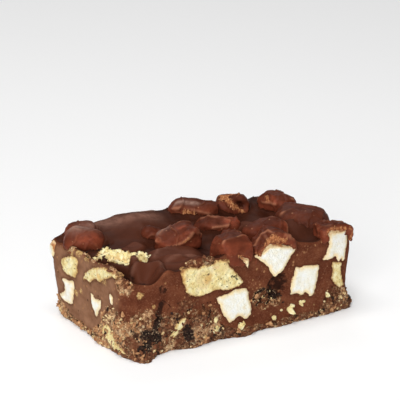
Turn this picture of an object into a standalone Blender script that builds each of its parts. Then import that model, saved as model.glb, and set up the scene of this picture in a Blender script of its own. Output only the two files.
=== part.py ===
"""A cut slice of rocky road, modelled at its real size.

A chocolate slab stands on a thin layer of biscuit crumbs. Marshmallows and pieces of biscuit
show in its four cut faces, each in a pocket of its own, and marshmallows coated in chocolate
stand out of its top. Numbers are millimetres until a mesh is made, which is in metres. +Z is
up, X runs along the slice, and the origin is the middle of the flat underside.
"""

import math
import random

import bmesh
import bpy
from mathutils import Matrix, Vector, noise

MM = 0.001

# The cut block: its length, its width and the level of its top before the humps.
LENGTH = 90.0
WIDTH = 52.0
TOP_LEVEL = 27.0
HALF_LENGTH = LENGTH / 2
HALF_WIDTH = WIDTH / 2

# Clear distance between two pieces that touch, and how far a cut piece stands proud. The piece
# at the rear left corner has swollen out of the cut face.
GAP = 0.35
PROUD = 0.25
SWOLLEN = {"marshmallow_left_rear": 1.7}

# No marshmallow in a cut face reaches above the ceiling, and no coat below the coat's floor.
CEILING = 30.2
COAT_FLOOR = 27.0

# Spacing of the facets along, across and up the block.
FACET_SPACING = (5.0, 4.8, 6.0)

# Waves of each surface: height and length. The cut faces wave only near the block's edges,
# outside this share of its half length, where the four upright corners are also rounded off.
CRUMB_WAVES = (0.5, 6.0)
TOP_WAVES = ((1.0, 11.0), (0.5, 5.0))
CUT_WAVES = (0.35, 9.0)
EDGE_SHARE = 0.8
CORNER_ROUNDING = 0.9

# Depth of the crumb layer away from its heaps, and its heaps: x, y, extra height, radii.
CRUMB_DEPTH = 2.0
CRUMB_HEAPS = (
    (-41.0, -24.0, 9.0, 8.0, 7.0),
    (-30.0, -26.0, 8.0, 8.0, 5.0),
    (-16.0, -26.0, 8.0, 8.0, 4.0),
    (-45.0, -14.0, 11.0, 9.0, 7.0),
    (43.0, -22.0, 6.5, 6.0, 7.0),
    (-44.0, 22.0, 3.5, 4.0, 5.0),
    (28.0, 26.0, 6.0, 9.0, 5.0),
    (45.0, 14.0, 5.0, 4.0, 8.0),
)

# Toes of crumb that squash out at the foot: x, y, push along x, push along y, radius, height.
TOES = (
    (-42.5, -27.0, 1.6, -6.2, 6.5, 9.0),
    (-19.0, -27.0, 0.0, -2.4, 4.5, 7.0),
    (0.5, -27.0, 0.0, -2.4, 5.0, 5.0),
    (17.0, -27.0, 0.0, -1.2, 5.0, 4.0),
    (46.5, -20.0, 5.0, 0.5, 6.5, 8.0),
    (30.0, 27.0, 0.0, 2.0, 7.0, 6.0),
    (-46.0, -8.0, -1.3, 0.0, 6.0, 6.0),
)

# Places where the cut faces swell: x, y, z, push along x, push along y, radius.
SWELLS = (
    (-45.0, 25.0, 19.0, -1.5, 1.8, 11.0),
    (-20.0, 26.0, 24.0, 0.0, 1.8, 14.0),
    (16.0, 26.0, 22.0, 0.0, 1.0, 12.0),
    (45.0, -22.0, 25.0, 0.9, 0.0, 7.0),
)

# Humps and hollows of the top: x, y, height, radius along x, radius along y.
TOP_FORMS = (
    (-18.0, 15.5, 4.4, 13.0, 9.0),
    (-14.0, 25.0, 3.0, 24.0, 6.0),
    (-20.0, -15.5, 2.6, 7.0, 4.5),
    (-14.0, -24.0, 4.4, 13.0, 6.0),
    (-29.5, -26.0, 2.6, 3.0, 5.0),
    (-34.0, -19.5, -6.8, 4.6, 4.2),
    (-43.0, -13.0, 2.0, 5.0, 6.0),
    (9.0, 18.0, 2.6, 14.0, 9.0),
    (33.0, -8.0, 3.4, 10.0, 8.0),
    (34.0, 18.0, 1.8, 10.0, 7.0),
    (4.0, -6.0, -1.0, 12.0, 5.0),
    (28.0, -25.0, 1.4, 8.0, 4.0),
)

# The four cut faces: outward direction, direction to the right as seen, half size of the block.
FRONT = (Vector((0, -1, 0)), Vector((1, 0, 0)), HALF_WIDTH)
BACK = (Vector((0, 1, 0)), Vector((-1, 0, 0)), HALF_WIDTH)
LEFT = (Vector((-1, 0, 0)), Vector((0, -1, 0)), HALF_LENGTH)
RIGHT = (Vector((1, 0, 0)), Vector((0, 1, 0)), HALF_LENGTH)

# Marshmallows in the cut faces: name, face, place along the face, height, width, tall, depth
# inside, tilt in degrees anticlockwise as seen, seed.
CUT_MARSHMALLOWS = (
    ("marshmallow_front_square", FRONT, 25.7, 14.9, 9.7, 10.6, 8.0, -5, 1),
    ("marshmallow_front_diamond", FRONT, 13.4, 26.3, 12.0, 11.0, 9.0, 41, 2),
    ("marshmallow_front_low", FRONT, -2.6, 11.0, 12.0, 9.6, 8.0, 14, 3),
    ("marshmallow_front_corner", FRONT, 39.3, 24.2, 9.8, 9.2, 7.0, -6, 4),
    ("marshmallow_left_upper", LEFT, 16.0, 11.4, 7.6, 9.6, 8.0, 10, 5),
    ("marshmallow_left_lower", LEFT, -4.9, 12.3, 6.2, 9.0, 7.0, 5, 6),
    ("marshmallow_left_chip", LEFT, -15.6, 18.6, 2.8, 3.8, 3.0, -8, 7),
    ("marshmallow_left_rear", LEFT, 23.8, 23.4, 6.6, 6.8, 6.0, 18, 8),
    ("marshmallow_back_tall", BACK, 31.0, 14.2, 9.6, 11.4, 8.0, 8, 9),
    ("marshmallow_back_diamond", BACK, 8.0, 17.5, 11.0, 10.4, 8.0, 38, 10),
    ("marshmallow_back_low", BACK, -17.0, 10.8, 11.4, 9.0, 8.0, -12, 11),
    ("marshmallow_right_high", RIGHT, 2.0, 20.0, 11.0, 9.6, 8.0, 16, 12),
    ("marshmallow_right_low", RIGHT, -13.0, 12.6, 8.6, 9.8, 8.0, -9, 13),
)

# Pieces of biscuit in the cut faces, listed as the marshmallows are.
CUT_BISCUITS = (
    ("biscuit_front_long", FRONT, -11.2, 22.9, 22.4, 9.4, 7.0, -8, 21),
    ("biscuit_front_end", FRONT, 40.6, 13.4, 6.2, 7.6, 4.5, -6, 22),
    ("biscuit_front_splinter", FRONT, -25.0, 8.6, 9.4, 3.2, 4.0, 43, 23),
    ("biscuit_left_round", LEFT, 12.9, 21.4, 9.6, 8.0, 7.0, 12, 24),
    ("biscuit_left_ledge", LEFT, -6.8, 22.9, 17.0, 6.0, 7.0, 8, 25),
    ("biscuit_left_splinter", LEFT, -16.6, 5.6, 14.6, 3.2, 4.0, -30, 26),
    ("biscuit_back_long", BACK, -27.5, 22.0, 17.5, 8.4, 8.0, 6, 27),
    ("biscuit_back_slab", BACK, 20.5, 7.6, 13.5, 6.4, 7.0, -10, 28),
    ("biscuit_right_round", RIGHT, 17.0, 15.0, 9.0, 8.6, 7.0, 20, 30),
)

# Pieces of biscuit that lie in the top: name, centre, size, turn about Z, tilt, seed.
TOP_BISCUITS = (
    ("biscuit_top_broken", (-35.4, 0.6, 25.7), (8.0, 13.0, 4.6), 32, -6, 31),
    ("biscuit_top_chip", (-29.0, -9.6, 28.0), (4.4, 3.4, 3.6), 25, 18, 32),
)

# Marshmallows coated in chocolate, in the top: name, centre, size, turn about Z, tilt, seed.
COATED_LUMPS = (
    ("lump_left_edge", (-38.6, 16.6, 28.8), (13.6, 9.6, 8.4), -30, 4, 41),
    ("lump_left_rear", (-36.0, 22.6, 29.4), (10.5, 6.0, 7.4), -28, -6, 42),
    ("lump_hill_small", (-16.8, 6.6, 29.8), (6.2, 4.2, 4.8), -20, 12, 43),
    ("lump_middle_ridged", (-11.2, -2.4, 29.2), (15.6, 9.8, 9.6), -14, -14, 44),
    ("lump_rear_long", (8.4, 20.0, 30.0), (18.0, 9.6, 8.4), -24, 8, 45),
    ("lump_rear_hollowed", (23.2, 18.2, 29.8), (11.0, 8.6, 8.4), -34, -6, 46),
    ("lump_rear_right", (39.2, 12.0, 29.6), (12.4, 8.8, 8.4), -44, 10, 47),
    ("lump_right_great", (36.8, -7.0, 29.4), (18.6, 13.6, 11.4), -40, 4, 48),
    ("lump_middle_tablet", (9.4, 5.8, 28.2), (14.0, 6.8, 5.4), -30, 5, 49),
    ("lump_front_block", (-1.2, -20.8, 28.8), (12.6, 11.0, 10.4), -6, 6, 50),
    ("lump_front_behind", (4.6, -11.2, 28.8), (7.6, 4.6, 5.6), -24, 10, 51),
    ("lump_front_bolster", (19.4, -9.8, 29.2), (14.8, 8.0, 8.0), -12, -8, 52),
    ("lump_right_rear", (39.6, 21.8, 26.6), (8.6, 6.4, 6.0), 12, -6, 54),
)

# Coats of chocolate over the two marshmallows that the knife went through in the top.
CUT_COATS = (
    ("coat_front_diamond", FRONT, 13.4, 27.0, 14.6, 14.2, 10.0, 42, 61),
    ("coat_front_corner", FRONT, 39.8, 28.4, 13.0, 8.4, 9.0, -4, 62),
)

# A biscuit whose face is larger than this, in square millimetres, gets finer facets.
LARGE_BISCUIT = 100.0

# Shares of a piece's smallest side: how far its corners are out of true, the width of its
# rounded rim, how rough its sides are, and how long its lumps are.
MARSHMALLOW_SHARES = (0.07, 0.2, 0.06, 0.5)
BISCUIT_SHARES = (0.08, 0.16, 0.12, 0.45)
COAT_SHARES = (0.1, 0.24, 0.1, 0.6)

# Crumbs of biscuit in the faces: face, place along it, height, size.
SLAB_CRUMBS = (
    (FRONT, 19.8, 6.6, 3.4),
    (FRONT, 23.9, 7.4, 1.8),
    (FRONT, 35.2, 8.2, 1.9),
    (FRONT, 13.6, 5.4, 2.2),
    (FRONT, 0.6, 4.6, 2.0),
    (FRONT, -39.8, 20.6, 2.8),
    (FRONT, -34.6, 17.2, 1.6),
    (LEFT, 6.4, 14.0, 1.9),
    (LEFT, 20.6, 17.4, 1.8),
    (LEFT, 3.0, 12.0, 1.7),
    (BACK, 39.0, 21.0, 2.8),
    (BACK, 18.0, 22.6, 2.4),
    (BACK, -7.0, 21.5, 2.2),
    (RIGHT, -7.4, 9.0, 2.4),
    (RIGHT, 8.5, 11.0, 2.2),
)

# The hollow that a lost crumb left in the front: place along it, height, size, tilt.
CAVITY = (14.6, 14.6, (12.0, 3.6, 5.0), 44)

FOOT_CRUMB_COUNT = 38
FOOT_CRUMB_SIZES = (1.8, 3.2)


def material(name, colour, roughness):
    """A plain Principled material of one colour."""
    made = bpy.data.materials.new(name)
    made.use_nodes = True
    shader = made.node_tree.nodes["Principled BSDF"]
    shader.inputs["Base Color"].default_value = (*colour, 1.0)
    shader.inputs["Roughness"].default_value = roughness
    shader.inputs["Metallic"].default_value = 0.0
    made.diffuse_color = (*colour, 1.0)
    return made


def collection(name):
    """A new collection in the scene."""
    made = bpy.data.collections.new(name)
    bpy.context.scene.collection.children.link(made)
    return made


def ripple(point, scale, seed=0.0):
    """Smooth noise from -1 to 1 whose lumps are about `scale` millimetres across."""
    return noise.noise(point / scale + Vector((seed * 7.3, seed * 3.1, seed * 5.7)))


def hill(x, y, form):
    """The height that a hump or heap has at x, y."""
    centre_x, centre_y, height, radius_x, radius_y = form
    return height * math.exp(-(((x - centre_x) / radius_x) ** 2) - ((y - centre_y) / radius_y) ** 2)


def crumb_top(x, y):
    """Level of the boundary between the crumb layer and the slab."""
    level = CRUMB_DEPTH + sum(hill(x, y, heap) for heap in CRUMB_HEAPS)
    height, size = CRUMB_WAVES
    return level + height * ripple(Vector((x, y, 0)), size, 1)


def slab_top(x, y):
    """Level of the chocolate's top."""
    level = TOP_LEVEL + sum(hill(x, y, form) for form in TOP_FORMS)
    for seed, (height, size) in enumerate(TOP_WAVES, 2):
        level += height * ripple(Vector((x, y, 0)), size, seed)
    return level


def side_push(x, y, z):
    """How far a point of the block moves sideways: the toes, the waves of the cut faces."""
    push = Vector((0, 0, 0))
    for toe_x, toe_y, along, across, radius, height in TOES:
        near = math.exp(-(((x - toe_x) ** 2 + (y - toe_y) ** 2) / radius**2))
        push += Vector((along, across, 0)) * near * max(0.0, 1 - z / height)
    for swell_x, swell_y, swell_z, along, across, radius in SWELLS:
        away = (x - swell_x) ** 2 + (y - swell_y) ** 2 + (z - swell_z) ** 2
        push += Vector((along, across, 0)) * math.exp(-away / radius**2)
    edge_x = max(0.0, abs(x) / HALF_LENGTH - EDGE_SHARE) / (1 - EDGE_SHARE)
    edge_y = max(0.0, abs(y) / HALF_WIDTH - EDGE_SHARE) / (1 - EDGE_SHARE)
    depth, size = CUT_WAVES
    wave = depth * ripple(Vector((x, y, z)), size, 4)
    push.x += math.copysign(edge_x * wave, x)
    push.y += math.copysign(edge_y * wave, y)
    corner = CORNER_ROUNDING * edge_x * edge_y
    push.x -= math.copysign(corner, x)
    push.y -= math.copysign(corner, y)
    return push


def gridded_box(low, high):
    """A box cut into facets by planes across it, from one corner to the other."""
    shape = bmesh.new()
    bmesh.ops.create_cube(shape, size=1.0)
    size = high - low
    bmesh.ops.scale(shape, vec=size, verts=shape.verts)
    bmesh.ops.translate(shape, vec=(low + high) / 2, verts=shape.verts)
    for axis in range(3):
        normal = Vector((axis == 0, axis == 1, axis == 2))
        steps = max(1, round(size[axis] / FACET_SPACING[axis]))
        for step in range(1, steps):
            everything = [*shape.verts, *shape.edges, *shape.faces]
            place = low + normal * (size[axis] * step / steps)
            bmesh.ops.bisect_plane(shape, geom=everything, plane_co=place, plane_no=normal, dist=1e-5)
    return shape


def finish(shape, name, group, finish_material, place=None):
    """Turns a shape in millimetres into an object in metres, shaded smooth with sharp edges."""
    bmesh.ops.scale(shape, vec=Vector((MM, MM, MM)), verts=shape.verts)
    mesh = bpy.data.meshes.new(name)
    shape.to_mesh(mesh)
    shape.free()
    mesh.shade_smooth()
    mesh.set_sharp_from_angle(angle=math.radians(40))
    mesh.materials.append(finish_material)
    made = bpy.data.objects.new(name, mesh)
    if place is not None:
        turned = place.copy()
        turned.translation = place.translation * MM
        made.matrix_world = turned
    group.objects.link(made)
    return made


def block(size, unevenness, seed):
    """A block whose eight corners are out of true."""
    draw = random.Random(seed)
    shape = bmesh.new()
    bmesh.ops.create_cube(shape, size=1.0)
    for vertex in shape.verts:
        vertex.co = Vector(c * s for c, s in zip(vertex.co, size))
        vertex.co += Vector(draw.uniform(-1, 1) * unevenness for _ in range(3))
    return shape


def soft_block(size, seed):
    """A marshmallow: a block with rounded edges."""
    uneven, rim, rough, lump = [share * min(size) for share in MARSHMALLOW_SHARES]
    shape = block(size, uneven, seed)
    bmesh.ops.bevel(shape, geom=shape.edges[:], offset=rim, segments=2, affect="EDGES", profile=0.5)
    roughen(shape, rough, lump, seed)
    return shape


def broken_block(size, seed):
    """A piece of biscuit: a block with broken edges and rough sides."""
    uneven, rim, rough, lump = [share * min(size) for share in BISCUIT_SHARES]
    shape = block(size, uneven, seed)
    bmesh.ops.bevel(shape, geom=shape.edges[:], offset=rim, segments=1, affect="EDGES")
    if size[0] * size[1] > LARGE_BISCUIT:
        bmesh.ops.subdivide_edges(shape, edges=shape.edges[:], cuts=1, use_grid_fill=True)
        bmesh.ops.triangulate(shape, faces=[f for f in shape.faces if len(f.verts) > 4])
    roughen(shape, rough, lump, seed)
    return shape


def coated_block(size, seed):
    """A marshmallow under its coat: a block rounded by one subdivision of its bevelled form."""
    uneven, rim, rough, lump = [share * min(size) for share in COAT_SHARES]
    shape = block(size, uneven, seed)
    bmesh.ops.bevel(shape, geom=shape.edges[:], offset=rim, segments=1, affect="EDGES")
    cage = bpy.data.meshes.new("cage")
    shape.to_mesh(cage)
    shape.free()
    holder = bpy.data.objects.new("cage", cage)
    bpy.context.scene.collection.objects.link(holder)
    rounding = holder.modifiers.new("rounding", "SUBSURF")
    rounding.levels = 1
    rounding.render_levels = 1
    graph = bpy.context.evaluated_depsgraph_get()
    rounded = bpy.data.meshes.new_from_object(holder.evaluated_get(graph))
    shape = bmesh.new()
    shape.from_mesh(rounded)
    bpy.data.objects.remove(holder)
    bpy.data.meshes.remove(cage)
    bpy.data.meshes.remove(rounded)
    roughen(shape, rough, lump, seed)
    return shape


def roughen(shape, amount, scale, seed):
    """Pushes the surface in and out by smooth noise."""
    shape.normal_update()
    moves = [v.normal * amount * ripple(v.co, scale, seed) for v in shape.verts]
    for vertex, move in zip(shape.verts, moves):
        vertex.co += move


def face_place(face, along, height, tilt):
    """The matrix of a piece in a cut face: its own x runs along the face, y up, z out."""
    outward, right, reach = face
    axes = Matrix((right, Vector((0, 0, 1)), outward)).transposed().to_4x4()
    centre = outward * reach + Vector((0, 0, height))
    centre += Vector((abs(right.x), abs(right.y), 0)) * along
    return Matrix.Translation(centre) @ axes @ Matrix.Rotation(math.radians(tilt), 4, "Z")


def top_place(centre, turn, tilt):
    """The matrix of a piece that lies in the top."""
    turned = Matrix.Rotation(math.radians(turn), 4, "Z") @ Matrix.Rotation(math.radians(tilt), 4, "Y")
    return Matrix.Translation(Vector(centre)) @ turned


def grown(shape):
    """A copy of a shape with its skin moved out, which cuts the pocket that the piece sits in."""
    copy = shape.copy()
    copy.normal_update()
    moves = [v.normal * GAP * min(2.0, v.calc_shell_factor()) for v in copy.verts]
    for vertex, move in zip(copy.verts, moves):
        vertex.co += move
    return copy


def slice_off(shape, place, outward, reach):
    """Cuts away what lies beyond a plane and closes the cut. The shape is in its own frame."""
    if max((place @ v.co).dot(outward) for v in shape.verts) <= reach:
        return
    to_local = place.inverted()
    point = to_local @ (outward * reach)
    normal = (to_local.to_3x3() @ outward).normalized()
    everything = [*shape.verts, *shape.edges, *shape.faces]
    cut = bmesh.ops.bisect_plane(
        shape, geom=everything, plane_co=point, plane_no=normal, clear_outer=True, dist=1e-5
    )
    edges = [e for e in cut["geom_cut"] if isinstance(e, bmesh.types.BMEdge)]
    if edges:
        bmesh.ops.edgeloop_fill(shape, edges=edges)


def add_piece(shape, name, place, group, cutters, finish_material):
    """Adds a piece, cut off at every face that it reaches past, and the cutter of its pocket."""
    cutter = finish(grown(shape), "pocket_" + name, cutters, finish_material, place)
    cutter.hide_render = True
    cutter.display_type = "WIRE"
    for outward, _, reach in (FRONT, BACK, LEFT, RIGHT):
        slice_off(shape, place, outward, reach + SWOLLEN.get(name, PROUD))
    return finish(shape, name, group, finish_material, place)


def carve(piece, *others):
    """Cuts the pockets of other pieces out of this one."""
    for other in others:
        cut = piece.modifiers.new("room_for_" + other, "BOOLEAN")
        cut.operation = "DIFFERENCE"
        cut.solver = "EXACT"
        cut.object = bpy.data.objects["pocket_" + other]


def crumb(size, seed):
    """A crumb: a small faceted ball, squashed and jagged."""
    draw = random.Random(seed)
    shape = bmesh.new()
    bmesh.ops.create_icosphere(shape, subdivisions=1, radius=size / 2)
    stretch = Vector((draw.uniform(0.8, 1.2), draw.uniform(0.7, 1.1), draw.uniform(0.7, 1.1)))
    for vertex in shape.verts:
        vertex.co = Vector(c * s for c, s in zip(vertex.co, stretch)) * draw.uniform(0.85, 1.15)
    return shape


def fuse(piece, crumbs):
    """Joins the crumbs of a collection to a piece, and removes the collection's objects."""
    join = piece.modifiers.new("crumbs", "BOOLEAN")
    join.operation = "UNION"
    join.operand_type = "COLLECTION"
    join.collection = crumbs
    join.solver = "EXACT"
    joined = bpy.data.meshes.new_from_object(piece.evaluated_get(bpy.context.evaluated_depsgraph_get()))
    piece.modifiers.clear()
    piece.data = joined
    for made in list(crumbs.objects):
        bpy.data.objects.remove(made)
    bpy.data.collections.remove(crumbs)


def make_block(group, chocolate, crumb_finish):
    """The crumb layer and the slab on it, before the pockets are cut."""
    low = Vector((-HALF_LENGTH, -HALF_WIDTH, 0.0))
    high = Vector((HALF_LENGTH, HALF_WIDTH, 1.0))
    layer = gridded_box(low, high)
    for vertex in layer.verts:
        x, y, share = vertex.co
        z = share * crumb_top(x, y)
        vertex.co = Vector((x, y, z)) + side_push(x, y, z)
    bmesh.ops.triangulate(layer, faces=layer.faces[:], quad_method="SHORT_EDGE")
    underside = [f for f in layer.faces if all(v.co.z < 1e-6 for v in f.verts)]
    bmesh.ops.dissolve_faces(layer, faces=underside)
    layer_object = finish(layer, "crumb_layer", group, crumb_finish)

    high.z = TOP_LEVEL
    slab = gridded_box(low, high)
    for vertex in slab.verts:
        x, y, level = vertex.co
        floor = crumb_top(x, y) + GAP
        z = floor + (slab_top(x, y) - floor) * level / TOP_LEVEL
        vertex.co = Vector((x, y, z)) + side_push(x, y, z)
    bmesh.ops.triangulate(slab, faces=slab.faces[:], quad_method="SHORT_EDGE")
    slab_object = finish(slab, "chocolate_slab", group, chocolate)
    return layer_object, slab_object


def add_cut_pieces(rows, make_shape, group, cutters, finish_material):
    """The pieces that the knife cut through, one node each."""
    for name, face, along, height, width, tall, depth, tilt, seed in rows:
        shape = make_shape((width, tall, 2 * depth), seed)
        place = face_place(face, along, height, tilt)
        if make_shape is soft_block:
            slice_off(shape, place, Vector((0, 0, 1)), CEILING)
        if make_shape is coated_block:
            slice_off(shape, place, Vector((0, 0, -1)), -COAT_FLOOR)
        add_piece(shape, name, place, group, cutters, finish_material)


def add_top_pieces(rows, make_shape, group, cutters, finish_material):
    """The pieces that lie in the top, one node each."""
    for name, centre, size, turn, tilt, seed in rows:
        shape = make_shape(size, seed)
        add_piece(shape, name, top_place(centre, turn, tilt), group, cutters, finish_material)


def near_pocket(centre, reach):
    """Whether a pocket comes closer than `reach` to a point."""
    for cutter in bpy.data.collections["pocket_cutters"].objects:
        found, spot, _, _ = cutter.closest_point_on_mesh(cutter.matrix_world.inverted() @ (centre * MM))
        if found and (cutter.matrix_world @ spot - centre * MM).length < reach * MM:
            return True
    return False


def add_slab_crumbs(slab, finish_material):
    """Crumbs of biscuit that show in the faces, fused to the slab."""
    crumbs = collection("slab_crumbs")
    for number, (face, along, height, size) in enumerate(SLAB_CRUMBS):
        place = face_place(face, along, height, 0)
        finish(crumb(size, 100 + number), f"slab_crumb_{number}", crumbs, finish_material, place)
    fuse(slab, crumbs)


def add_foot_crumbs(layer, finish_material):
    """Crumbs spread evenly round the foot, fused to the crumb layer, larger at its heaps."""
    crumbs = collection("foot_crumbs")
    draw = random.Random(77)
    perimeter = 2 * (LENGTH + WIDTH)
    corners = ((-1, -1), (1, -1), (1, 1), (-1, 1))
    for number in range(FOOT_CRUMB_COUNT):
        walked = (number + draw.uniform(0.2, 0.8)) * perimeter / FOOT_CRUMB_COUNT
        side = 0
        while walked > (LENGTH, WIDTH)[side % 2]:
            walked -= (LENGTH, WIDTH)[side % 2]
            side += 1
        start = Vector((corners[side][0] * HALF_LENGTH, corners[side][1] * HALF_WIDTH, 0))
        end_x, end_y = corners[(side + 1) % 4]
        end = Vector((end_x * HALF_LENGTH, end_y * HALF_WIDTH, 0))
        spot = start + (end - start).normalized() * walked
        deep = crumb_top(spot.x, spot.y)
        size = min(draw.uniform(*FOOT_CRUMB_SIZES), 0.9 * deep)
        z = draw.uniform(0.55 * size + 0.1, max(0.6 * size, deep - 0.62 * size - GAP))
        centre = Vector((spot.x, spot.y, z))
        centre += side_push(spot.x, spot.y, z)
        place = Matrix.Translation(centre)
        if near_pocket(centre, 0.7 * size + GAP):
            continue
        finish(crumb(size, 200 + number), f"foot_crumb_{number}", crumbs, finish_material, place)
    fuse(layer, crumbs)


def add_cavity(cutters, finish_material):
    """The cutter of the hollow in the front."""
    along, height, size, tilt = CAVITY
    shape = bmesh.new()
    bmesh.ops.create_icosphere(shape, subdivisions=2, radius=0.5)
    bmesh.ops.scale(shape, vec=Vector(size), verts=shape.verts)
    roughen(shape, 0.5, 2.0, 9)
    place = face_place(FRONT, along, height, tilt)
    cutter = finish(shape, "pocket_cavity", cutters, finish_material, place)
    cutter.hide_render = True
    cutter.display_type = "WIRE"


def overlapping(first, second):
    """Whether the boxes round two objects meet."""
    boxes = []
    for thing in (first, second):
        corners = [thing.matrix_world @ Vector(c) for c in thing.bound_box]
        boxes.append([(min(c[i] for c in corners), max(c[i] for c in corners)) for i in range(3)])
    return all(a[0] < b[1] and b[0] < a[1] for a, b in zip(*boxes))


def main():
    for thing in list(bpy.data.objects):
        bpy.data.objects.remove(thing)
    group = collection("rocky_road")
    cutters = collection("pocket_cutters")
    chocolate = material("chocolate", (0.156, 0.054, 0.03), 0.45)
    coat = material("chocolate_coat", (0.19, 0.058, 0.034), 0.35)
    marshmallow = material("marshmallow", (0.86, 0.85, 0.74), 0.8)
    biscuit = material("biscuit", (0.77, 0.66, 0.31), 0.9)
    crumbs = material("crumb", (0.25, 0.13, 0.07), 0.9)

    layer, slab = make_block(group, chocolate, crumbs)
    add_cut_pieces(CUT_MARSHMALLOWS, soft_block, group, cutters, marshmallow)
    add_cut_pieces(CUT_BISCUITS, broken_block, group, cutters, biscuit)
    add_top_pieces(TOP_BISCUITS, broken_block, group, cutters, biscuit)
    add_top_pieces(COATED_LUMPS, coated_block, group, cutters, coat)
    add_cut_pieces(CUT_COATS, coated_block, group, cutters, coat)
    add_cavity(cutters, chocolate)
    add_slab_crumbs(slab, chocolate)
    add_foot_crumbs(layer, crumbs)

    bpy.context.view_layer.update()
    rows = (CUT_MARSHMALLOWS, CUT_BISCUITS, TOP_BISCUITS, COATED_LUMPS, CUT_COATS)
    names = [row[0] for row_set in rows for row in row_set]
    for number, name in enumerate(names):
        piece = bpy.data.objects[name]
        near = [n for n in names[:number] if overlapping(piece, bpy.data.objects["pocket_" + n])]
        carve(piece, *near)
    near = [n for n in names if overlapping(layer, bpy.data.objects["pocket_" + n])]
    carve(layer, *near)
    pockets = slab.modifiers.new("pockets", "BOOLEAN")
    pockets.operation = "DIFFERENCE"
    pockets.operand_type = "COLLECTION"
    pockets.collection = cutters
    pockets.solver = "EXACT"


main()
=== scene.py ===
"""The looks of a cut slice of rocky road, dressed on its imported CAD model.

Lengths are millimetres, turned into metres as each mesh is made. Only the lamps and the floor
are given in metres. +Z is up, X runs along the slice, and the origin is the middle of the flat
underside.
"""

import math
import random

import bmesh
import bpy
import numpy as np
from mathutils import Matrix, Vector, noise
from mathutils.bvhtree import BVHTree


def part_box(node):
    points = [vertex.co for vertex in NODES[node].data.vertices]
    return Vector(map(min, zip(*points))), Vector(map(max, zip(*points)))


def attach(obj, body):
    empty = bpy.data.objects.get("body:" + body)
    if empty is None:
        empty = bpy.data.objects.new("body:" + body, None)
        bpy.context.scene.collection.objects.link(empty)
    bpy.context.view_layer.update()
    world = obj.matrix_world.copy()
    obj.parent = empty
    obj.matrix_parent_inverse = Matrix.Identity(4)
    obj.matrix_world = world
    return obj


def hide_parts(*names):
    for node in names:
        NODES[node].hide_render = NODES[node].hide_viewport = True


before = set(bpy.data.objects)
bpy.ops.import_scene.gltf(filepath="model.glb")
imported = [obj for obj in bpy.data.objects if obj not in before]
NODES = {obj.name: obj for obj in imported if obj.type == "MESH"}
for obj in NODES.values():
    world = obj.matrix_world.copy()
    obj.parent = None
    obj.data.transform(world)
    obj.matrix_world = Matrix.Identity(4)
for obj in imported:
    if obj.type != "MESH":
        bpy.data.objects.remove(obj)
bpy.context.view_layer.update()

# noise_vector starts from the clock unless it is given a seed.
noise.seed_set(1)

MM = 0.001

# The camera: its direction from the slice and its height, in degrees, its distance and its
# lens. CAMERA_TARGET shows at TARGET_PIXEL of a square picture PICTURE_SIDE pixels across.
CAMERA_AZIMUTH = -30.8
CAMERA_ELEVATION = 21.1
CAMERA_DISTANCE = 750.0
CAMERA_TARGET = Vector((0.0, 0.0, 14.0))
CAMERA_LENS = 191.3
TARGET_PIXEL = (202.8, 273.4)
PICTURE_SIDE = 400

# The lamps: name, place, size, power, and the spot that each is turned to, and the strength of
# the white light from all round.
SLICE_MIDDLE = Vector((0.0, 0.0, 0.012))
LAMPS = (
    ("softbox_above", Vector((-0.20, -0.05, 0.95)), 0.6, 5.8, SLICE_MIDDLE),
    ("softbox_by_camera", Vector((-0.62, -0.72, 0.42)), 0.5, 6.2, SLICE_MIDDLE),
    ("softbox_behind", Vector((0.7, 1.5, 1.5)), 0.9, 7.0, Vector((0.5, 1.0, 0.0))),
)
SURROUND = 0.16

# The cut block: its size, how near a side a vertex counts as on it, and the level that the
# coats over cut marshmallows reach down to.
LENGTH = 90.0
WIDTH = 52.0
TOP_LEVEL = 27.0
HALF_LENGTH = LENGTH / 2
HALF_WIDTH = WIDTH / 2
ON_SIDE = 0.01
COAT_FLOOR = 27.0

# Waves of each surface: height and length. The cut faces wave only past EDGE_SHARE of the
# block's half sizes, where its upright corners are rounded too.
CRUMB_WAVES = (0.5, 6.0)
TOP_WAVES = ((1.0, 11.0), (0.5, 5.0))
CUT_WAVES = (0.35, 9.0)
EDGE_SHARE = 0.8
CORNER_ROUNDING = 1.3

# Depth of the crumb layer away from its heaps, how far it and the chocolate overlap, and its
# heaps: x, y, extra height, radii.
CRUMB_DEPTH = 2.0
CHOCOLATE_DIP = 0.6
CRUMB_RISE = 0.15
CRUMB_HEAPS = (
    (-41.0, -24.0, 9.0, 8.0, 7.0),
    (-30.0, -26.0, 8.0, 8.0, 5.0),
    (-16.0, -26.0, 8.0, 8.0, 4.0),
    (-45.0, -14.0, 11.0, 9.0, 7.0),
    (43.0, -22.0, 6.5, 6.0, 7.0),
    (-44.0, 22.0, 3.5, 4.0, 5.0),
    (28.0, 26.0, 6.0, 9.0, 5.0),
    (45.0, 14.0, 5.0, 4.0, 8.0),
)

# Toes of crumb at the foot: x, y, push along x, push along y, radius, height.
TOES = (
    (-42.5, -27.0, 1.6, -6.2, 6.5, 9.0),
    (-19.0, -27.0, 0.0, -2.4, 4.5, 7.0),
    (0.5, -27.0, 0.0, -2.4, 5.0, 5.0),
    (17.0, -27.0, 0.0, -1.2, 5.0, 4.0),
    (46.5, -20.0, 5.0, 0.5, 6.5, 8.0),
    (30.0, 27.0, 0.0, 2.0, 7.0, 6.0),
    (-46.0, -8.0, -1.3, 0.0, 6.0, 6.0),
)

# Places where the cut faces swell: x, y, z, push along x, push along y, radius.
SWELLS = (
    (-45.0, 25.0, 19.0, -1.5, 1.8, 11.0),
    (-45.0, 25.0, 25.0, -1.0, 0.5, 4.0),
    (-20.0, 26.0, 24.0, 0.0, 1.8, 14.0),
    (16.0, 26.0, 22.0, 0.0, 1.0, 12.0),
    (45.0, -22.0, 25.0, 1.5, 0.0, 8.0),
)

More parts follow.
